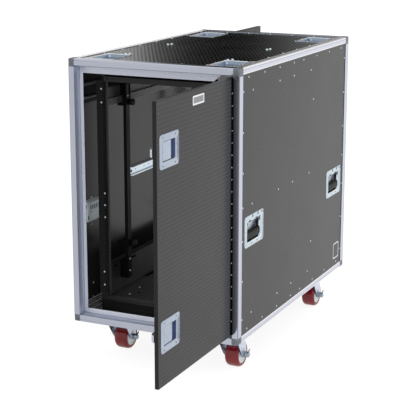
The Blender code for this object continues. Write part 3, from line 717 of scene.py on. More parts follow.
# ------------------------------------------------------------------ rivets of the shell
ROW = (-486.0, -341.0, -196.0, -50.5, 50.5, 196.0, 341.0, 486.0)
COLUMN = (914.0, 770.0, 626.0, 501.0, 377.0, 230.0, 86.0)
spots = []
for half, T in HALVES:
    def wall(y, z):
        spots.append((T @ Vector((FACE_X, y, Z0 + z)), T.to_3x3() @ Vector((1, 0, 0))))
    for y in ROW:
        wall(y, 961.0)
        wall(y, 40.0)
    for z in COLUMN:
        wall(-531.5, z)
        wall(531.5, z)
    for y in (-447.0, -194.0, -49.0, 134.0):
        for z in (911.0, 500.0, 91.0):
            if not (z == 911.0 and y == -999.0):
                wall(y, z)
    wall(167.0, 792.0)
    wall(167.0, 209.0)
rivets("side_rivets", spots, RIVET, "shell")
spots = []
for s in (-1, 1):
    for y in (-508.0, -367.0, -226.0, -82.0, 60.0, 201.0, 342.0, 484.0):
        spots.append(((s * 303.5, y, DECK_Z), (0, 0, 1)))
for s in (-1, 1):
    for x in (-200.0, -100.0, 0.0, 100.0, 200.0):
        spots.append(((x, s * 532.0, DECK_Z), (0, 0, 1)))
rivets("top_rivets", spots, RIVET, "shell")
b = Build()
for x, y in ((200, -359), (212, -346), (204, 1), (210, 18), (-218, -358), (-208, -344), (-219, -7), (-210, 9)):
    b.add(spin([(0, -0.2), (5.6, -0.2), (5.6, 0.9), (5.0, 1.2), (0, 1.2)], 20), smooth=True, at=moved((x, y, DECK_Z)))
    b.add(SCREW, smooth=True, at=moved((x, y, DECK_Z + 1.1)))
b.obj("top_bolts", ZINC, "shell", "zinc_plate", sharp=50)


# ------------------------------------------------------------------ side handles
def ring_yz(x, y0, y1, z0, z1, r):
    return [(x, p[0], p[1]) for p in rrect((y0 + y1) / 2, (z0 + z1) / 2, (y1 - y0) / 2, (z1 - z0) / 2, r, 6)]


def banded(rings, bands):
    """Loft of rings with a material slot for each band between two rings."""
    vs, fs = loft(rings)
    n = len(rings[0])
    slots = []
    for k in range(len(rings) - 1):
        slots += [bands.get(k, 0)] * n
    return (vs, fs), slots + [bands.get("first", 0), bands.get("last", 0)]


def handle_dish():
    """Pressed dish: flat rim, rolled mouth, slanting walls, flat floor (facing +X)."""
    front = [ring_yz(-20.9, -42, 44, -33, 30, 8), ring_yz(-20.9, -49, 50, -36.2, 33.4, 8), ring_yz(-19.8, -52.5, 53.5, -37.8, 34.6, 8),
             ring_yz(-14.6, -60.4, 60.8, -40.2, 35.2, 8), ring_yz(-1.8, -64.6, 65.0, -42.2, 35.4, 7), ring_yz(0.5, -65.4, 66.6, -42.6, 35.6, 7),
             ring_yz(1.9, -66.4, 70.6, -43.4, 36.4, 8), ring_yz(2.5, -68.0, 74.0, -45.0, 38.0, 9), ring_yz(2.3, -69.6, 76.0, -46.8, 39.8, 10),
             ring_yz(1.7, -70.8, 77.2, -48.0, 41.0, 11),
             ring_yz(1.6, -84.1, 86.6, -60.2, 53.2, 12), ring_yz(1.1, -85.2, 87.7, -61.2, 54.2, 12.6), ring_yz(0.2, -85.5, 88.0, -61.5, 54.5, 13)]
    back = [ring_yz(0.1, -68.0, 69.0, -45.0, 47.5, 9), ring_yz(-1.0, -65.6, 65.8, -42.8, 46.4, 8),
            ring_yz(-15.0, -61.6, 62.0, -41.0, 38.0, 8), ring_yz(-20.8, -53.6, 54.6, -38.8, 35.8, 8), ring_yz(-22.1, -49.4, 50.4, -36.8, 34.0, 8),
            ring_yz(-22.1, -42, 44, -33, 30, 8)]
    k = len(front)
    # the rolled lip (bands 5 and 6) takes the near-white aluminium as a painted highlight
    bands = {0: 4, 1: 4, 2: 4, "first": 4, 5: 1, 6: 1}
    for j in range(k, k + len(back) - 1):
        bands[j] = 2
    bands["last"] = 2
    shape, slots = banded(front + back, bands)
    n = len(front[0])
    for j in (5, 6):
        # the wide lip at the right keeps the plain plating, without the painted highlight
        for i in list(range(0, 6)) + list(range(23, n)):
            slots[j * n + i] = 0
    return shape, slots


def handle_bail():
    """Sprung bail: coated wire arms, bracket plates and a thick moulded grip."""
    wire = [(-7.5, 60.0, 22), (-7.5, 57.5, 21.6), (-7.8, 55.6, 18), (-8.4, 55.0, 6), (-9.2, 54.6, -8), (-9.8, 54.0, -17)]
    b = Build()
    for s in (-1, 1):
        b.add(tube([(x, s * y, z) for x, y, z in wire], 3.4, 12), slot=0, smooth=True)
        b.add(spin([(0, s * 61.0), (4.4, s * 61.0), (4.4, s * 57.4), (0, s * 57.4)], 18, "y", (-7.5, 22.0)), slot=0, smooth=True)
    # gusset between the arm and the grip on the far side, in very dark zinc as painted shade
    b.add(prism([(50.0, 27.0), (52.8, 27.0), (57.0, -4.0), (57.0, -20.0), (8.0, -12.0), (10.0, -5.0), (28.0, -1.5), (37.0, 4.0), (44.5, 16.0)], "x", -12.6, -10.4), slot=2)
    b.add(prism([(-48.6, 27.0), (-45.0, 27.0), (-46.0, -6.0), (-57.0, -18.0), (-57.0, -4.0)], "x", -12.6, -10.4), slot=2)
    prof = [(-60.0, 0.74), (-59.4, 0.90), (-57.6, 0.985), (-54.0, 1.0), (-50.0, 0.965), (-47.0, 0.95), (-30.0, 0.985), (0.0, 1.0),
            (30.0, 0.985), (47.0, 0.95), (50.0, 0.965), (54.0, 1.0), (57.6, 0.985), (59.4, 0.90), (60.0, 0.74)]
    rings = []
    for y, k in prof:
        ring = []
        for j in range(28):
            a = 2 * math.pi * j / 28
            c, d = math.cos(a), math.sin(a)
            u = math.copysign(abs(c) ** 0.72, c) * 9.4 * k
            w = math.copysign(abs(d) ** 0.72, d) * 17.2 * k
            ring.append((-9.6 + u, y, -22.6 + w))
        rings.append(ring)
    turn = [2 * math.pi * (j + 0.5) / 28 for j in range(28)]
    # painted shade: only the outward face of the grip keeps the grip rubber, its top, bottom and back take a darker
    # black
    side = [1 if math.cos(a) > 0.0 and -0.34 < math.sin(a) < 0.46 else 3 for a in turn]
    b.add(loft(rings), slot=side * (len(rings) - 1) + [3, 3], smooth=True)
    # moulding line along the grip's face
    b.add(box(-0.6, 0.25, -45.0, 45.0, -23.2, -22.0), slot=1)
    return b


# dark raised patch for a slot in the rim: painted shade of the slot
def slot_shade(cy, cz, hy, hz):
    return prism(rrect(cy, cz, hy, hz, min(hy, hz) - 0.01, 5), "x", 1.3, 1.85)


for name, sx, sy in (("front_right", 1, -1), ("rear_right", 1, 1), ("front_left", -1, -1), ("rear_left", -1, 1)):
    turn = IDENT if sx > 0 else HALF_TURN
    A = moved((sx * FACE_X, sy * 428.5, Z0 + 407.0)) @ turn
    shape, slots = handle_dish()
    b = Build().add(shape, slot=slots, smooth=True, at=A)
    # hinge ears at the mouth's upper corners
    for cy in (-61.5, 61.5):
        b.add(prism(rrect(cy, 22.0, 1.6, 7.5, 1.5, 4), "x", -13.5, -1.0), smooth=False, at=A)
    # dark patches for the pressed openings in the back wall of the dish: painted shade of the openings
    for cy in (-44.0, -29.0, -15.0, 2.0, 17.0, 32.0, 46.0):
        b.add(prism(rrect(cy, 17.0, 3.0, 9.0, 2.8, 4), "x", -22.7, -21.9), slot=3, at=A)
    b.add(box(-23.4, -21.9, -52.0, 53.0, -2.4, 0.4), slot=0, at=A)
    dish = b.obj(name + "_recess_plate", [ZINC_DISH, HIGHLIGHT, ZINC_BACK, ZINC_SHADE, ZINC_FLOOR], "shell", "zinc_plate", sharp=40)
    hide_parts(name + "_handle_dish")
    b = Build()
    for cy, cz in ((-77.5, -2), (82.0, -2), (-72, -52), (75, -52)):
        b.add(RIVET_SMALL, smooth=True, at=A @ facing((1.6, cy, cz), (1, 0, 0)))
    b.obj(name + "_handle_rivets", RIVET_MID, "shell", "zinc_plate", sharp=50)
    b = Build()
    # dark patches for the notches and slots of the rim: painted shade
    for cy in (-14.9, 34.0):
        b.add(prism(rrect(cy, 47.6, 3.9, 5.6, 2.6, 4), "x", 1.3, 1.9), at=A)
    for cy, cz, hy, hz in ((66.0, 47.0, 2.4, 4.4), (79.5, 45.0, 2.4, 4.4), (-22.5, -52.5, 5.0, 1.5), (27.5, -52.5, 5.0, 1.5)):
        b.add(slot_shade(cy, cz, hy, hz), at=A)
    b.obj(name + "_rim_slot_shades", ZINC_SHADE, "shell", "zinc_plate")
    bail = handle_bail()
    bail.v = [(A @ (v / MM)) * MM for v in bail.v]
    ob = bail.obj(name + "_bail", [BLACK, GRIP, ZINC_SHADE, BLACK_FLAT], name + "_grip", "black_rubber", bevel=0.3, sharp=40)
    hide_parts(name + "_handle_grip")
    # torsion spring behind the upper lip: a long wire with a coil at each end
    b = Build()
    for s in (-1, 1):
        pts = [(-7.5 + 5.2 * math.cos(t * 0.7), s * (52.6 - t * 0.12), 22 + 5.2 * math.sin(t * 0.7)) for t in range(40)]
        b.add(tube(pts, 0.8, 6), smooth=True, at=A)
    b.add(tube([(-13.0, -44.0, 26.6), (-13.0, -30.0, 26.0), (-13.2, 30.0, 26.0), (-13.0, 44.0, 26.6)], 1.1, 8), smooth=True, at=A)
    # hinge barrel of the bail across the top of the mouth
    b.add(spin([(0, -58.5), (3.6, -58.5), (4.0, -57.8), (4.0, -41.0), (3.4, -40.6), (3.4, -20.0), (4.0, -19.6), (4.0, 19.6), (3.4, 20.0),
                (3.4, 40.6), (4.0, 41.0), (4.0, 57.8), (3.6, 58.5), (0, 58.5)], 18, "y", (-6.0, 30.6)), slot=1, smooth=True, at=A)
    for s in (-1, 1):
        coil = [(-6.0 + 4.7 * math.cos(k * 0.8), s * (22.0 + k * 0.42), 30.6 + 4.7 * math.sin(k * 0.8)) for k in range(42)]
        b.add(tube(coil, 0.75, 6), slot=0, smooth=True, at=A)
    b.obj(name + "_handle_springs", [ZINC_GREY, ZINC_DISH], "shell", "zinc_plate", sharp=40)


# ------------------------------------------------------------------ stacking cups
def ring_xy(z, hx, hy, r):
    return [(p[0], p[1], z) for p in rrect(0, 0, hx, hy, r, 6)]


def cup_shape():
    front = [ring_xy(-11.9, 38, 62, 10), ring_xy(-11.9, 41.5, 65.5, 12), ring_xy(-11.0, 43.3, 67.3, 13), ring_xy(-2.0, 45.6, 69.6, 13),
             ring_xy(0.9, 46.4, 70.4, 13), ring_xy(2.2, 47.8, 71.8, 14), ring_xy(2.3, 49.4, 73.4, 15), ring_xy(1.75, 50.8, 74.8, 15),
             ring_xy(1.7, 57.0, 81.6, 10), ring_xy(1.2, 58.0, 82.6, 10.6), ring_xy(0.2, 58.1, 82.7, 10.7)]
    back = [ring_xy(0.1, 48.5, 72.5, 14), ring_xy(-1.0, 46.6, 70.6, 13), ring_xy(-11.5, 44.4, 68.4, 13), ring_xy(-13.1, 42, 66, 12),
            ring_xy(-13.1, 38, 62, 10)]
    # the inside of the cup takes the darker blue zinc as painted shade, the rolled lip a painted highlight, the flat
    # rim the rim zinc
    return banded(front + back, {4: 1, 5: 1, 6: 1, 7: 2, 8: 2, 9: 2, 10: 2})


CUPS = (("front_left", -229.0, -456.0), ("front_right", 249.0, -456.0), ("rear_left", -229.0, 400.0), ("rear_right", 249.0, 400.0))
for name, cx, cy in CUPS:
    A = moved((cx, cy, DECK_Z))
    shape, slots = cup_shape()
    b = Build().add(shape, slot=slots, smooth=True, at=A)
    ob = b.obj(name + "_wheel_cup", [ZINC_BLUE_SHADE, HIGHLIGHT, ZINC_RIM], "shell", "zinc_plate", sharp=40)
    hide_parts(name + "_stacking_cup")
    rivets(name + "_cup_rivets", [((cx + x, cy + y, DECK_Z + 1.7), (0, 0, 1))
                                  for x, y in ((-51, -76), (0, -78), (51, -76), (-54, 0), (54, 0), (-51, 76), (0, 78), (51, 76))],
           RIVET, "shell", RIVET_SMALL)


# ------------------------------------------------------------------ door latches
DOOR_X = 312.5
LATCH_Y = -1057.5
LATCH_Z = (("lower", 202.5), ("upper", 803.0))


def latch_ring(x, hy, hz, r, cy=0.0):
    return [(x, p[0], p[1]) for p in rrect(cy, 0, hy, hz, r, 6)]


def latch_plate():
    c = -3.0
    front = [latch_ring(-12.2, 38, 26, 3, c), latch_ring(-12.2, 42.0, 29.8, 3.5, c), latch_ring(-11.4, 43.2, 30.9, 4, c),
             latch_ring(-1.0, 44.4, 31.5, 4.2, c), latch_ring(0.9, 44.8, 31.9, 4.5, c), latch_ring(1.7, 46.0, 33.1, 5.5, c),
             latch_ring(2.3, 47.2, 34.3, 6.5, c), latch_ring(2.0, 48.6, 35.6, 7.5, c), latch_ring(1.6, 49.6, 36.6, 8, c),
             latch_ring(1.6, 66.3, 53.6, 11.4), latch_ring(1.0, 67.4, 54.7, 12), latch_ring(0.15, 67.5, 54.8, 12)]
    back = [latch_ring(0.1, 47.5, 34, 6, -1.0), latch_ring(-1.0, 46.6, 32.6, 5, -1.0), latch_ring(-13.2, 45.6, 32.3, 4, -1.0),
            latch_ring(-13.6, 43, 30, 3.5, -1.0), latch_ring(-13.6, 38, 26, 3, c)]
    # the deep part of the recess takes the darker recess zinc as painted shade
    return banded(front + back, {0: 1, 1: 1, 2: 1, 3: 1, "first": 1})


def latch_keeper():
    """Housing of the bolt on the inner face: foot plate and folded box."""
    b = Build()
    b.add(box(-15.7, -14.1, -70.5, -22.0, -22.0, 22.0))
    b.add(plate(rrect(0, -22.4, 15.0, 8.3, 2.5, 4), [], "y", -70.5, -69.0))
    for sz in (-1, 1):
        z0, z1 = sorted((sz * 13.4, sz * 14.9))
        b.add(box(-31.0, -14.6, -69.0, -30.0, z0, z1))
    b.add(box(-31.2, -29.8, -69.0, -30.0, -14.9, 14.9))
    return b


for half, T in HALVES:
    for level, zc in LATCH_Z:
        A = T @ moved((DOOR_X, LATCH_Y, Z0 + zc))
        nm = "%s_%s" % (half, level)
        shape, slots = latch_plate()
        b = Build().add(shape, slot=slots, smooth=True, at=A)
        # folded housing of the bolt, open towards the free edge
        b.add(plate(rrect(-46.0, 0, 26.0, 22.0, 4, 4), [], "x", -15.6, -14.2), slot=2, at=A)
        for sz in (-1, 1):
            z0, z1 = sorted((sz * 13.2, sz * 14.7))
            b.add(box(-30.2, -15.0, -70.3, -30.2, z0, z1), slot=2, at=A)
        b.add(box(-31.0, -29.9, -70.3, -30.2, -14.7, 14.7), slot=2, at=A)
        # shallow pressed line beside the recess
        b.add(prism(rrect(56.4, 0.0, 0.8, 34.0, 0.75, 4), "x", 1.4, 2.0), at=A)
        ob = b.obj(nm + "_latch_plate", [ZINC_LATCH, ZINC_RECESS_SHADE, ZINC_GREY], half + "_door_leaf", "zinc_plate", sharp=40)
        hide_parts(nm + "_latch_dish")
        b = Build()
        for y in (-45.3, 40.3):
            for z in (-45.4, 45.4):
                b.add(RIVET_SMALL, smooth=True, at=A @ facing((1.6, y, z), (1, 0, 0)))
        for y, z in ((-64, -18), (-64, 18), (-28, -18), (-28, 18)):
            b.add(RIVET_SMALL, smooth=True, at=A @ facing((-15.6, y, z), (-1, 0, 0)))
        b.obj(nm + "_latch_rivets", RIVET_DARK, half + "_door_leaf", "zinc_plate", sharp=50)
        # paddle with a rolled finger edge and a hinge barrel; the barrel and its knuckles take the very dark zinc as
        # painted shade
        b = Build()
        prof = [(-3.9, -40.6), (-2.2, -40.6), (-1.2, -39.4), (-1.1, -35.0), (-1.3, -18.0), (-1.1, 11.0), (-1.4, 15.2), (-2.4, 17.5),
                (-3.6, 18.0), (-6.4, 17.6), (-6.9, 16.8), (-6.4, 16.0), (-4.1, 15.8), (-3.4, 14.4), (-3.5, -37.0)]
        b.add(loft([[(x, y, z) for x, y in prof] for z in (-30.0, -28.6, 28.6, 30.0)]), smooth=True, at=A)
        b.add(spin([(0, -30.4), (2.0, -30.4), (2.0, 30.4), (0, 30.4)], 16, "z", (-3.7, -43.0)), slot=1, smooth=True, at=A)
        for za, zb in ((-24.0, -12.0), (12.0, 24.0)):
            b.add(box(-4.4, -3.0, -42.8, -38.0, za, zb), slot=1, at=A)
        ob = b.obj(nm + "_paddle_plate", [ZINC_LATCH, ZINC_SHADE], nm + "_paddle", "zinc_plate", sharp=30)
        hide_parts(nm + "_latch_paddle")
        b = Build()
        nose = [(-17.2, -82.6), (-17.2, -50), (-28.8, -50), (-28.8, -73.0), (-28.0, -74.4), (-18.4, -82.8)]
        b.add(prism([(x, y) for x, y in nose], "z", -12.3, 12.3), at=A)
        ob = b.obj(nm + "_bolt_tongue", STEEL, nm + "_bolt", "zinc_plate", bevel=0.8, segments=3)
        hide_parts(nm + "_latch_bolt")


# ------------------------------------------------------------------ doors: hinge leaf, rivets, plates
for half, T in HALVES:
    b = Build()
    b.add(prism(rrect((-582.0 - 538.2) / 2, Z0 + 501.2, (582.0 - 538.2) / 2, 461.0, 2.0, 3), "x", DOOR_X - 0.02, DOOR_X + 0.8), at=T)
    b.obj(half + "_hinge_leaf", BLACK_FLAT, half + "_door_leaf", "black_steel", bevel=0.2, segments=1)
    spots = []
    for k in range(20):
        z = Z0 + 91.0 + 43.3 * k
        spots.append((T @ Vector((DOOR_X + 0.75, -574.5, z)), T.to_3x3() @ Vector((1, 0, 0))))
    rivets(half + "_hinge_rivets", spots, RIVET, half + "_door_leaf", RIVET_LOW)
    # fine barrel ribs of the hinge, on the pin's line
    b = Build()
    for k in range(6):
        lo = Z0 + 50.0 + 150.0 * k
        who = b if k % 2 == 0 else None
        if who is None:
            continue
        for j in range(5):
            b.add(spin([(3.35, lo + 30 * j + 0.6), (3.75, lo + 30 * j + 1.2), (3.75, lo + 30 * j + 28.4), (3.35, lo + 30 * j + 29.0)],
                       18, "z", (297.0, -532.5)), smooth=True, at=T)
    b.obj(half + "_hinge_barrels", BLACK, half + "_door_leaf", "black_steel", sharp=30)
    # blank identification plate in the upper hinge-side corner of the door
    b = Build().add(plate(rrect(-844.5, Z0 + 931.5, 43.0, 15.5, 3.0, 4), [], "x", DOOR_X, DOOR_X + 0.8), at=T)
    b.add(plate(rrect(-844.5, Z0 + 931.5, 37.0, 10.0, 2.0, 4), [], "x", DOOR_X + 0.5, DOOR_X + 1.0), slot=1, at=T)
    b.obj(half + "_door_plate", [PLATE, PLATE_FIELD], half + "_door_leaf", "zinc_plate", bevel=0.2, segments=1)
    b = Build().add(plate(rrect(481.0, Z0 + 91.0, 33.0, 34.0, 8.0, 6), [], "x", FACE_X, FACE_X + 1.0), at=T)
    b.add(plate(rrect(481.0, Z0 + 91.0, 28.5, 29.5, 6.0, 6), [], "x", FACE_X + 0.7, FACE_X + 1.3), slot=1, at=T)
    b.obj(half + "_wall_plate", [PLATE, PLATE_DARK], "shell", "zinc_plate", bevel=0.2, segments=1)


# ------------------------------------------------------------------ pocket slide tracks
def track_channel(zc, body, top_lip, low_lip):
    """C-shaped slide member seen from inside: web with holes, curled raceway lips."""
    b = Build()
    z = Z0 + zc
    web_x, y0, y1 = 327.0, -530.8, 143.0
    holes = []
    for k in range(3):
        yy = y1 - 14.0 - 239.0 * k
        holes.append(circle(yy, z - 1.0, 6.6, 18))
        for d in (35.0, 109.0, 148.0):
            if yy - d > y0 + 12:
                holes.append(circle(yy - d, z + 1.0, 2.8, 12))
    b.add(plate([(y0, z - 15.5), (y1, z - 15.5), (y1, z + 15.5), (y0, z + 15.5)], holes, "x", web_x - 1.5, web_x - 0.1), slot=body)
    for s in (-1, 1):
        race = [(web_x - 0.1, z + s * 15.5), (web_x - 0.1, z + s * 19.4), (web_x - 1.6, z + s * 19.5), (web_x - 9.0, z + s * 19.5),
                (web_x - 11.1, z + s * 18.3), (web_x - 11.3, z + s * 15.8), (web_x - 9.9, z + s * 15.6), (web_x - 9.5, z + s * 17.6),
                (web_x - 8.4, z + s * 18.2), (web_x - 2.2, z + s * 18.2), (web_x - 1.5, z + s * 17.2), (web_x - 1.5, z + s * 15.5)]
        lip = top_lip if s > 0 else low_lip
        b.add(prism(race, "y", y0, y1), slot=[body, body, body, lip, lip, lip, body, body, body, body, body, body, body, body])
    return b


for half, T in HALVES:
    b = Build()
    # middle and upper tracks: the upper lip's curl in grey zinc as painted shade, the lower lip's curl in near-white
    # aluminium as painted highlight; the lowest track is black with a zinc upper lip
    for zc, body, top_lip, low_lip in ((76.0, 1, 0, 1), (498.0, 0, 3, 2), (924.0, 0, 3, 2)):
        c = track_channel(zc, body, top_lip, low_lip)
        b.add(([v / MM for v in c.v], c.f), slot=c.s, at=T)
    b.add(box(325.4, 326.9, -530.0, -504.0, Z0 + 95.6, Z0 + 478.4), at=T)
    b.add(box(325.4, 326.9, -530.0, -504.0, Z0 + 517.6, Z0 + 904.4), at=T)
    ob = b.obj(half + "_slide_tracks", [SLIDE, BLACK, HIGHLIGHT, ZINC_GREY], "shell", "slide_steel")
    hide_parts(half + "_door_tracks")


# ------------------------------------------------------------------ rack rails
def rail_face(s):
    x0, x1 = sorted((s * 228.4, s * 260.0))
    z0, z1 = Z0 + 106.0, Z0 + 915.0
    base = Z0 + 110.4
    holes = []
    for u in range(18):
        for off in (6.35, 22.25, 38.1):
            zc = base + u * 44.45 + off
            holes.append(circle(s * 232.55, zc, 3.3, 12))
    return plate([(x0, z0), (x1, z0), (x1, z1), (x0, z1)], holes, "y", -510.0, -507.6)


def rail_flange(s):
    """Curved lip of the rail: turns from the front face back along the opening."""
    turn = [math.atan(math.tan(math.radians(a)) / 6.86) for a in range(0, 90, 9)] + [math.pi / 2]
    turn = turn[:-1] + [0.5 * (turn[-2] + turn[-1]), turn[-1]]
    outer = [(s * (228.5 - 3.5 * math.sin(t)), -486.0 - 24.0 * math.cos(t)) for t in turn]
    inner = [(s * (228.5 - 2.0 * math.sin(t)), -486.0 - 22.5 * math.cos(t)) for t in turn]
    return prism(outer + inner[::-1], "z", Z0 + 106.0, Z0 + 915.0)


def rail_side(s):
    z0, z1 = Z0 + 106.0, Z0 + 915.0
    a, c = sorted((s * 256.3, s * 258.7))
    holes = [circle(-492.0, Z0 + 132.6 + 44.45 * u, 3.6, 12) for u in range(18)]
    return plate([(-507.6, z0), (-480.5, z0), (-480.5, z1), (-507.6, z1)], holes, "x", a, c)


for half, T in HALVES:
    for s, name in ((-1, "left"), (1, "right")):
        side = name if half == "front" else {"left": "right", "right": "left"}[name]
        b = Build().add(rail_face(s), at=T).add(rail_side(s), at=T)
        # the curved lip takes the black that turns lighter towards its back edge: painted shading
        b.add(rail_flange(s), slot=2, smooth=True, at=T)
        lo, hi = sorted((s * 228.6, s * 238.0))
        b.add(box(lo, hi, -507.4, -505.8, Z0 + 108.0, Z0 + 913.0), slot=1, at=T)
        ob = b.obj("%s_%s_punched_rail" % (half, side), [BLACK_RAIL, VOID, RAIL_LIP_SHADING], "shell", "black_steel")
        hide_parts("%s_%s_rack_rail" % (half, side))
        spots = [(s * 240.0, z) for z in (886.0, 835.7, 189.0, 138.0)] + [(s * 232.5, z) for z in (494.0, 449.0, 402.4)]
        rivets("%s_%s_rail_screws" % (half, side),
               [(T @ Vector((x, -510.0, Z0 + z)), T.to_3x3() @ Vector((0, -1, 0))) for x, z in spots], RIVET, "shell", SCREW_RAIL)
        # screws on the inner posts, and the rubber buffers
        spots = [(T @ Vector((s * 225.0, -335.0, Z0 + z)), T.to_3x3() @ Vector((-s, 0, 0))) for z in (839.0, 196.0, 148.0)]
        rivets("%s_%s_post_screws" % (half, side), spots, ZINC, "shell", SCREW)
        b = Build()
        knob = [(0, 0.0), (5.0, 0.0), (7.0, 1.0), (10.5, 2.0), (12.2, 5.0), (12.5, 14.0), (11.0, 17.6), (7.0, 18.8), (0, 19.0)]
        for z in (811.5, 258.0):
            b.add(spin(knob, 24), smooth=True, at=T @ facing((s * 225.5, -316.0, Z0 + z), (-s, 0, 0)))
        b.obj("%s_%s_rubber_mounts" % (half, side), MOUNT, "shell", "black_rubber", sharp=40)


for half, T in HALVES:
    b = Build()
    b.add(prism([(-510.0, Z0 + 913.4), (-510.0, Z0 + 933.0), (-507.8, Z0 + 933.0), (-507.8, Z0 + 915.4), (-494.0, Z0 + 915.4), (-494.0, Z0 + 913.4)],
                "x", -228.0, 228.0), slot=0, at=T)
    b.add(box(-228.0, 228.0, -507.6, -506.2, Z0 + 918.0, Z0 + 947.0), slot=1, at=T)
    for x in (-214.0, 214.0):
        b.add(SCREW_RAIL, slot=0, smooth=True, at=T @ facing((x, -510.0, Z0 + 923.0), (0, -1, 0)))
    b.obj(half + "_rail_cross_bar", [BLACK, VOID], "shell", "black_steel", bevel=0.4)


def c_section(s, x_in, x_out, z0, z1, t=2.2, lip=9.0):
    """Channel with its back to the wall and both flanges turned to the middle."""
    return [(s * x_out, z0), (s * x_out, z1), (s * x_in, z1), (s * x_in, z1 - t), (s * (x_out - t), z1 - t),
            (s * (x_out - t), z0 + t), (s * x_in, z0 + t), (s * x_in, z0)]


for s, name in ((-1, "left"), (1, "right")):
    b = Build()
    # long bars: a plate and two flanges above, a deep plate down to the tray below; the upper plate takes a lighter
    # black and the lower one a less light black as painted light
    for z0, z1, xa, xb, web, slots in ((838.0, 886.0, 248.0, 250.4, 4, ()),
                                       (72.0, 205.0, 259.6, 262.0, 1, ((-400, -376), (-262, -224), (-60, -22), (22, 60), (224, 262)))):
        holes = []
        for a, c in slots:
            holes.append(rrect((a + c) / 2, Z0 + 177.5, (c - a) / 2, 4.5, 4.4, 5))
            lo, hi = sorted((s * (xb + 0.2), s * (xb + 1.4)))
            b.add(box(lo, hi, a - 3, c + 3, Z0 + 169.5, Z0 + 185.5), slot=3)
        lo, hi = sorted((s * xa, s * xb))
        b.add(plate([(-505, Z0 + z0), (505, Z0 + z0), (505, Z0 + z1), (-505, Z0 + z1)], holes, "x", lo, hi), slot=web)
        for za, zb, slot in ((z1 - 2.6, z1, 0),) + (((z0, z0 + 2.6, 2),) if web == 4 else ()):
            lo, hi = sorted((s * 238.4, s * (xa + 0.4)))
            b.add(box(lo, hi, -479.5, 479.5, Z0 + za, Z0 + zb), slot=slot)
    # strip below the upper bar in the lighter black: painted light
    lo, hi = sorted((s * 240.0, s * 243.0))
    b.add(box(lo, hi, -479.5, 479.5, Z0 + 816.0, Z0 + 838.4), slot=4)
    for yc in (-335.0, 335.0):
        # post: a channel open towards the wall
        post = [(s * 225.0, yc - 14), (s * 238.0, yc - 14), (s * 238.0, yc - 11.8), (s * 227.2, yc - 11.8), (s * 227.2, yc + 11.8),
                (s * 238.0, yc + 11.8), (s * 238.0, yc + 14), (s * 225.0, yc + 14)]
        b.add(prism(post, "z", Z0 + 122.0, Z0 + 884.0), slot=0)
        for e in (-1, 1):
            ya, yb = sorted((yc + e * 14.0, yc + e * 16.2))
            def gusset(x0, x1, z0, z1, r):
                b.add(plate(rrect(s * (x0 + x1) / 2, Z0 + (z0 + z1) / 2, (x1 - x0) / 2, (z1 - z0) / 2, r, 4), [], "y", ya, yb), slot=0)
            gusset(222.5, 262.0, 800.0, 883.0, 2.5)
            gusset(226.0, 259.8, 122.0, 205.0, 2.5)
            gusset(222.5, 259.8, 244.0, 272.0, 2.5)
    ob = b.obj(name + "_rack_side_frame", [BLACK_RAIL, BLACK_WEB_LIT, BLACK_LIP_HIGHLIGHT, VOID, BLACK_UPPER_LIT], "shell", "black_steel", bevel=0.5)
    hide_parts(name + "_rack_frame")


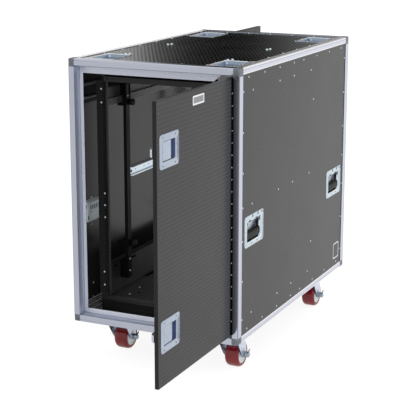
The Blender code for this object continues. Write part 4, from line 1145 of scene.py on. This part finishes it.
# ------------------------------------------------------------------ small interior hardware
for half, T in HALVES:
    b = Build()
    # ribbed guide profile in the lower corner beside the door opening; alternate ribs take a lighter and a darker metal
    # as painted highlight and shade
    for k in range(7):
        t = k / 6
        x, z = -325.4 + 31.0 * t, Z0 + 57.0 - 40.0 * t
        y1 = -395.0 - 42.0 * t
        rib = [(x - 1.6, z + 0.4), (x, z + 1.8), (x + 1.8, z + 1.0), (x + 1.2, z - 1.6), (x - 1.4, z - 1.2)]
        b.add(prism(rib, "y", -530.5, y1), slot=k % 2, at=T)
    b.add(prism([(-327.0, Z0 + 57.0), (-324.6, Z0 + 57.0), (-294.0, Z0 + 17.4), (-292.0, Z0 + 14.6), (-327.0, Z0 + 14.6)], "y", -530.5, -438.0),
          slot=2, at=T)
    b.obj(half + "_floor_guide", [STRIP, RIVET_MID, ZINC_GREY], "shell", "aluminium_edge", bevel=0.2, segments=1)
    # short channel on the wall in the upper corner: black back plate and two flanges, the flanges in the lighter black
    # as painted highlight
    b = Build()
    b.add(plate([(-530.0, Z0 + 823.0), (-352.0, Z0 + 823.0), (-352.0, Z0 + 948.0), (-530.0, Z0 + 948.0)],
                [circle(-500.0, Z0 + 868.0, 3.0, 12), circle(-440.0, Z0 + 868.0, 3.0, 12), circle(-380.0, Z0 + 868.0, 3.0, 12)],
                "x", -327.2, -324.6), slot=1, at=T)
    for za, zb in ((888.5, 899.5), (839.5, 848.0)):
        b.add(prism([(-324.8, Z0 + za), (-324.8, Z0 + zb), (-318.4, Z0 + zb), (-317.6, Z0 + zb - 0.8), (-317.6, Z0 + za + 0.8), (-318.4, Z0 + za)],
                    "y", -529.0, -353.0), slot=0, at=T)
    b.obj(half + "_wall_channel", [BLACK_LIP_HIGHLIGHT, BLACK_FLAT], "shell", "black_steel", bevel=0.3)
    spots = [((-327.1, y, z), (1, 0, 0)) for y, z in ((-500.0, Z0 + 470.0), (-386.0, Z0 + 470.0), (-446.6, Z0 + 117.4),
                                                      (-449.0, Z0 + 61.0), (-453.0, Z0 + 352.0), (-450.0, Z0 + 456.0))]
    rivets(half + "_inner_wall_screws", [(T @ Vector(p), T.to_3x3() @ Vector(n)) for p, n in spots], RIVET, "shell", SCREW)
    # tray: front apron with a pressed bead, bolts and access holes; the apron takes a darker black than the deck as
    # painted shade
    b = Build()
    b.add(prism([(-430.0, Z0 + 14.9), (-432.4, Z0 + 14.9), (-432.4, Z0 + 47.0), (-433.6, Z0 + 49.4), (-432.4, Z0 + 51.6), (-430.0, Z0 + 52.4)],
                "x", -297.5, 245.5), at=T)
    b.obj(half + "_tray_apron", BLACK_APRON_SHADE, "shell", "black_steel", bevel=0.5)
    b = Build()
    for x, y in ((-176.3, -356.0), (182.0, -356.0)):
        b.add(spin([(0, 70.25), (4.6, 70.25), (5.6, 70.6), (6.4, 70.2), (6.4, 69.6), (0, 69.6)], 20), smooth=True, at=T @ moved((x, y, Z0)))
    b.obj(half + "_tray_holes", VOID, "shell", "black_steel", sharp=50)
    spots = [((x, y, Z0 + 70.0), (0, 0, 1)) for x, y in ((-202.5, -385.0), (-207.6, -293.0), (205.0, -385.0), (205.0, -293.0))]
    rivets(half + "_tray_bolts", [(T @ Vector(p), T.to_3x3() @ Vector(n)) for p, n in spots], SLIDE, "shell", SCREW)


# ------------------------------------------------------------------ casters
CASTERS = (("front_left", -223.0, -426.0), ("front_right", 248.5, -426.0), ("rear_left", -223.0, 384.0), ("rear_right", 248.5, 384.0))
TRAIL = 38.0


def leg_outline(lead=0.0):
    """Side view (y, z) of a fork leg: wide shoulder sweeping back and down to the axle."""
    pts = [(-33.0 + lead, 133.0), (-32.5 + lead, 122.0), (-29.0 + lead * 0.9, 108.0), (-20.0 + lead * 0.7, 93.0),
           (-4.0 + lead * 0.5, 70.5), (9.0 + lead * 0.3, 53.5), (19.0, 43.5), (25.5, 39.3)]
    pts += arc(TRAIL - 1.0, 48.5, 12.5, 240, 335, 8)
    pts += [(50.6, 53.0), (52.4, 64.0), (50.0, 78.0), (43.0, 96.0), (36.0, 112.0), (32.0, 124.0), (31.0, 133.0)]
    return pts


def leg_slots():
    """The front edge of the leg takes a dark copy of the plating as painted shade, the rest keeps its plating."""
    n = len(leg_outline())
    return [1 if k < 11 else 0 for k in range(n)] + [0, 0]


LEG_L, LEG_R = (-37.2, -33.0), (36.0, 40.0)


def fork_shape():
    b = Build()
    b.add(prism(leg_outline(), "x", *LEG_L), slot=leg_slots())
    b.add(prism(leg_outline(7.0), "x", *LEG_R), slot=leg_slots())
    arch = [(-37.2, 124.0), (-37.2, 130.0), (-33.3, 134.0), (36.0, 134.0), (40.0, 130.0), (40.0, 124.0), (36.0, 124.0),
            (35.2, 128.4), (32.8, 130.2), (-29.8, 130.2), (-32.2, 128.4), (-33.0, 124.0)]
    b.add(prism([(x, z) for x, z in arch], "y", -26.0, 31.0))
    b.add(prism([(-37.2, 124.0), (-37.2, 130.0), (-33.3, 134.0), (10.0, 134.0), (8.0, 130.2), (-29.8, 130.2), (-32.2, 128.4), (-33.0, 124.0)],
                "y", -33.0, -26.0))
    b.add(spin([(0, 131.0), (29.0, 131.0), (33.0, 133.2), (33.4, 135.6), (31.5, 138.2), (0, 138.4)], 40), smooth=True)
    return b


def hexagon(r, a0=0.0):
    return [(TRAIL + r * math.cos(a0 + math.pi * k / 3), 50.0 + r * math.sin(a0 + math.pi * k / 3)) for k in range(6)]


WHEEL_TREAD = [(35.0, -22.8), (36.0, -26.6), (38.0, -27.6), (40.6, -28.0), (43.6, -27.2), (46.2, -25.0), (48.2, -21.8), (49.5, -17.6),
               (50.0, -12.5), (50.0, 0.0), (50.0, 12.5), (49.5, 17.6), (48.2, 21.8), (46.2, 25.0), (43.6, 27.2), (40.6, 28.0), (38.0, 27.6),
               (36.0, 26.6), (35.0, 22.8)]
HUB_SIDE = [(35.4, 25.0), (34.6, 26.6), (32.5, 27.2), (29.8, 26.4), (28.6, 24.0), (17.5, 23.4), (15.0, 25.2), (14.0, 27.6), (10.5, 28.2),
            (10.0, 26.0), (6.3, 26.0)]
WHEEL_X = 4.0                   # the wheel sits to the side of the long nut

for name, cx, cy in CASTERS:
    F = moved((cx, cy, 0))
    # top plate with its bolts, upper raceway
    b = Build()
    b.add(plate(rrect(0, 0, 50.0, 42.5, 6.0, 5), [], "z", 147.8, 151.9), at=F)
    b.add(spin([(0, 138.9), (29.0, 138.9), (33.0, 141.0), (34.0, 145.0), (36.0, 148.2), (0, 148.4)], 40), smooth=True, at=F)
    for x in (-39.0, 39.0):
        for y in (-31.0, 31.0):
            b.add(spin([(0, 146.6), (7.6, 146.6), (7.6, 148.0), (0, 148.0)], 20, "z", (x, y)), smooth=True, at=F)
            b.add(prism(circle(x, y, 6.4, 6), "z", 142.4, 146.8), at=F)
    ob = b.obj(name + "_top_plate", STEEL, "shell", "zinc_plate", bevel=0.5, segments=2)
    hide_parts(name + "_caster_plate")
    # fork, axle and nuts
    b = fork_shape()
    b2 = Build()
    b2.add(([v / MM for v in b.v], b.f), slot=b.s, at=F)
    fork = b2.obj(name + "_fork_shell", [STEEL, FORK_EDGE_SHADE], name + "_fork", "zinc_plate", bevel=0.6, segments=2, sharp=30)
    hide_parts(name + "_caster_fork")
    b = Build()
    b.add(spin([(0, -42.5), (5.0, -42.5), (5.8, -41.6), (5.8, 56.9), (5.0, 57.7), (0, 57.7)], 20, "x", (TRAIL, 50.0)), smooth=True, at=F)
    b.add(spin([(0, 40.1), (13.0, 40.1), (13.0, 42.0), (0, 42.0)], 26, "x", (TRAIL, 50.0)), smooth=True, at=F)
    b.add(spin([(0, 41.8), (8.6, 41.8), (8.6, 44.8), (0, 44.8)], 24, "x", (TRAIL, 50.0)), smooth=True, at=F)
    b.add(prism(hexagon(11.2, 0.35), "x", 44.6, 55.0), at=F)
    b.add(spin([(0, 54.8), (9.8, 54.8), (9.0, 56.6), (7.4, 57.2), (0, 57.2)], 24, "x", (TRAIL, 50.0)), smooth=True, at=F)
    b.add(prism(hexagon(11.0, 0.1), "x", -44.0, -37.3), at=F)
    # locking lug on the nut, pointing back and up
    b.add(tube([(51.0, TRAIL + 7.5, 58.0), (52.4, TRAIL + 11.0, 62.5), (53.2, TRAIL + 12.5, 66.0), (53.4, TRAIL + 13.3, 69.0)], [2.9, 2.9, 2.2, 1.6], 12),
          smooth=True, at=F)
    b.obj(name + "_axle_nuts", NUT, name + "_fork", "zinc_plate", bevel=0.5, segments=2)
    W = moved((cx + WHEEL_X, cy + TRAIL, 50.0))
    b = Build()
    b.add(spin(WHEEL_TREAD, 64, "x"), slot=0, smooth=True, at=W)
    for s in (-1, 1):
        b.add(spin([(r, s * h) for r, h in HUB_SIDE] + [(6.3, s * 17.0), (36.0, s * 17.0)], 48, "x"), slot=1, smooth=True, at=W)
        end = 31.9 if s > 0 else 36.9
        b.add(spin([(6.4, s * 27.4), (9.8, s * 27.8), (9.8, s * end), (6.4, s * end)], 28, "x"), slot=2, smooth=True, at=W)
    ob = b.obj(name + "_tyre_and_hub", [RED, HUB, NUT], name + "_wheel", "red_tread", sharp=30)
    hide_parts(name + "_caster_wheel")


# ------------------------------------------------------------------ studio
FLOOR_LEFT, FLOOR_RIGHT = 0.55, 0.82


def studio():
    scene = bpy.context.scene
    scene.view_settings.view_transform = "Standard"
    scene.view_settings.look = "None"
    scene.view_settings.exposure = 0.0
    scene.view_settings.gamma = 1.0

    me = bpy.data.meshes.new("floor")
    me.from_pydata([(-40, -40, 0), (40, -40, 0), (40, 40, 0), (-40, 40, 0)], [], [(0, 1, 2, 3)])
    floor = bpy.data.objects.new("floor", me)
    scene.collection.objects.link(floor)
    m = bpy.data.materials.new("glowing_pale_floor")
    m.use_nodes = True
    bsdf = m.node_tree.nodes["Principled BSDF"]
    bsdf.inputs["Base Color"].default_value = (0.25, 0.25, 0.25, 1)
    bsdf.inputs["Roughness"].default_value = 0.9
    bsdf.inputs["Specular IOR Level"].default_value = 0.0
    bsdf.inputs["Emission Strength"].default_value = 1.0
    # painted light: the floor glows, a little less on the left than on the right for reflected rays and evenly for
    # camera rays
    fnt = m.node_tree
    ftc = fnt.nodes.new("ShaderNodeTexCoord")
    fsep = fnt.nodes.new("ShaderNodeSeparateXYZ")
    fnt.links.new(ftc.outputs["Object"], fsep.inputs[0])
    fmap = fnt.nodes.new("ShaderNodeMapRange")
    fmap.interpolation_type = "SMOOTHSTEP"
    fnt.links.new(fsep.outputs["X"], fmap.inputs["Value"])
    for k, v in (("From Min", -0.5), ("From Max", 0.7), ("To Min", FLOOR_LEFT), ("To Max", FLOOR_RIGHT)):
        fmap.inputs[k].default_value = v
    flp = fnt.nodes.new("ShaderNodeLightPath")
    fmix = fnt.nodes.new("ShaderNodeMix")
    fmix.data_type = "FLOAT"
    fnt.links.new(flp.outputs["Is Camera Ray"], fmix.inputs[0])
    fnt.links.new(fmap.outputs["Result"], fmix.inputs[2])
    fmix.inputs[3].default_value = 0.88
    fcol = fnt.nodes.new("ShaderNodeCombineColor")
    for k in range(3):
        fnt.links.new(fmix.outputs[0], fcol.inputs[k])
    fnt.links.new(fcol.outputs[0], bsdf.inputs["Emission Color"])
    me.materials.append(m)

    world = bpy.data.worlds.new("studio")
    scene.world = world
    world.use_nodes = True
    nt = world.node_tree
    nt.nodes.clear()
    tc = nt.nodes.new("ShaderNodeTexCoord")

    def vdot(k):
        n = nt.nodes.new("ShaderNodeVectorMath")
        n.operation = "DOT_PRODUCT"
        nt.links.new(tc.outputs["Generated"], n.inputs[0])
        n.inputs[1].default_value = k
        return n.outputs["Value"]

    def mth(op, a, b=None):
        n = nt.nodes.new("ShaderNodeMath")
        n.operation = op
        for i, v in enumerate((a, b)):
            if v is None:
                continue
            if isinstance(v, (int, float)):
                n.inputs[i].default_value = v
            else:
                nt.links.new(v, n.inputs[i])
        return n.outputs[0]

    def ramp(fac, stops):
        n = nt.nodes.new("ShaderNodeValToRGB")
        cr = n.color_ramp
        while len(cr.elements) < len(stops):
            cr.elements.new(0.5)
        for e, (p, c) in zip(cr.elements, stops):
            e.position = p
            e.color = (c, c, c, 1)
        nt.links.new(fac, n.inputs["Fac"])
        return n.outputs["Color"]

    # a dark flag stands low behind the case, to the right of the camera's line
    az = math.radians(-24.4)
    phi = mth("ARCTAN2", vdot((math.cos(az), -math.sin(az), 0)), vdot((math.sin(az), math.cos(az), 0)))
    turn = mth("ADD", mth("DIVIDE", phi, 2 * math.pi), 0.5)
    deg = 1 / 360.0
    flag = ramp(turn, [(0.0, 1.0), (0.5 - 7 * deg, 0.86), (0.5 - 4.9 * deg, 0.74), (0.5 - 4.1 * deg, 0.48), (0.5 - 3.1 * deg, 0.135), (0.5 - 2.2 * deg, 0.050),
                       (0.5 - 1.2 * deg, 0.012), (0.5, 0.002), (0.5 + 1.2 * deg, 0.006), (0.5 + 2.2 * deg, 0.033), (0.5 + 3.4 * deg, 0.125),
                       (0.5 + 6 * deg, 0.36), (0.5 + 25 * deg, 0.45), (0.5 + 50 * deg, 1.0), (1.0, 1.0)])
    up = vdot((0, 0, 1))
    low = ramp(mth("ADD", mth("MULTIPLY", up, 0.5), 0.5), [(0.0, 0.0), (0.48, 0.0), (0.50, 1.0), (0.72, 1.0), (0.86, 0.0), (1.0, 0.0)])
    mix = nt.nodes.new("ShaderNodeMix")
    mix.data_type = "RGBA"
    nt.links.new(low, mix.inputs["Factor"])
    mix.inputs[6].default_value = (1, 1, 1, 1)
    nt.links.new(flag, mix.inputs[7])
    sky = nt.nodes.new("ShaderNodeBackground")
    nt.links.new(mix.outputs[2], sky.inputs["Color"])
    sky.inputs["Strength"].default_value = 1.0
    plain = nt.nodes.new("ShaderNodeBackground")
    plain.inputs["Color"].default_value = (1, 1, 1, 1)
    plain.inputs["Strength"].default_value = 1.0
    lp = nt.nodes.new("ShaderNodeLightPath")
    pick = nt.nodes.new("ShaderNodeMixShader")
    nt.links.new(lp.outputs["Is Camera Ray"], pick.inputs[0])
    nt.links.new(sky.outputs[0], pick.inputs[1])
    nt.links.new(plain.outputs[0], pick.inputs[2])
    out = nt.nodes.new("ShaderNodeOutputWorld")
    nt.links.new(pick.outputs[0], out.inputs["Surface"])

    def area(name, at, aim, sx, sy, power, color=(1, 1, 1)):
        data = bpy.data.lights.new(name, "AREA")
        data.shape = "RECTANGLE"
        data.size, data.size_y = sx, sy
        data.energy = power
        data.color = color
        ob = bpy.data.objects.new(name, data)
        scene.collection.objects.link(ob)
        ob.location = at
        d = Vector(aim) - Vector(at)
        ob.rotation_euler = d.to_track_quat("-Z", "Y").to_euler()
        return ob

    area("key", (3.4, -3.2, 3.6), (0.0, -0.2, 0.6), 1.8, 1.8, 14)

    cam = bpy.data.cameras.new("camera")
    cam.sensor_width = 36.0
    cam.sensor_fit = "HORIZONTAL"
    cam.lens = 1261.063 / 416 * 36.0
    cam.clip_end = 200
    ob = bpy.data.objects.new("camera", cam)
    scene.collection.objects.link(ob)
    a, e, roll = math.radians(-24.936), math.radians(13.777), math.radians(0.064)
    fwd = Vector((math.sin(a) * math.cos(e), math.cos(a) * math.cos(e), -math.sin(e)))
    right = fwd.cross(Vector((0, 0, 1))).normalized()
    up_v = right.cross(fwd)
    r2 = right * math.cos(roll) + up_v * math.sin(roll)
    u2 = up_v * math.cos(roll) - right * math.sin(roll)
    ob.matrix_world = Matrix(((r2.x, u2.x, -fwd.x, 2.04686845), (r2.y, u2.y, -fwd.y, -4.50036937),
                              (r2.z, u2.z, -fwd.z, 1.71116882), (0, 0, 0, 1)))
    scene.camera = ob


studio()

bpy.context.view_layer.update()
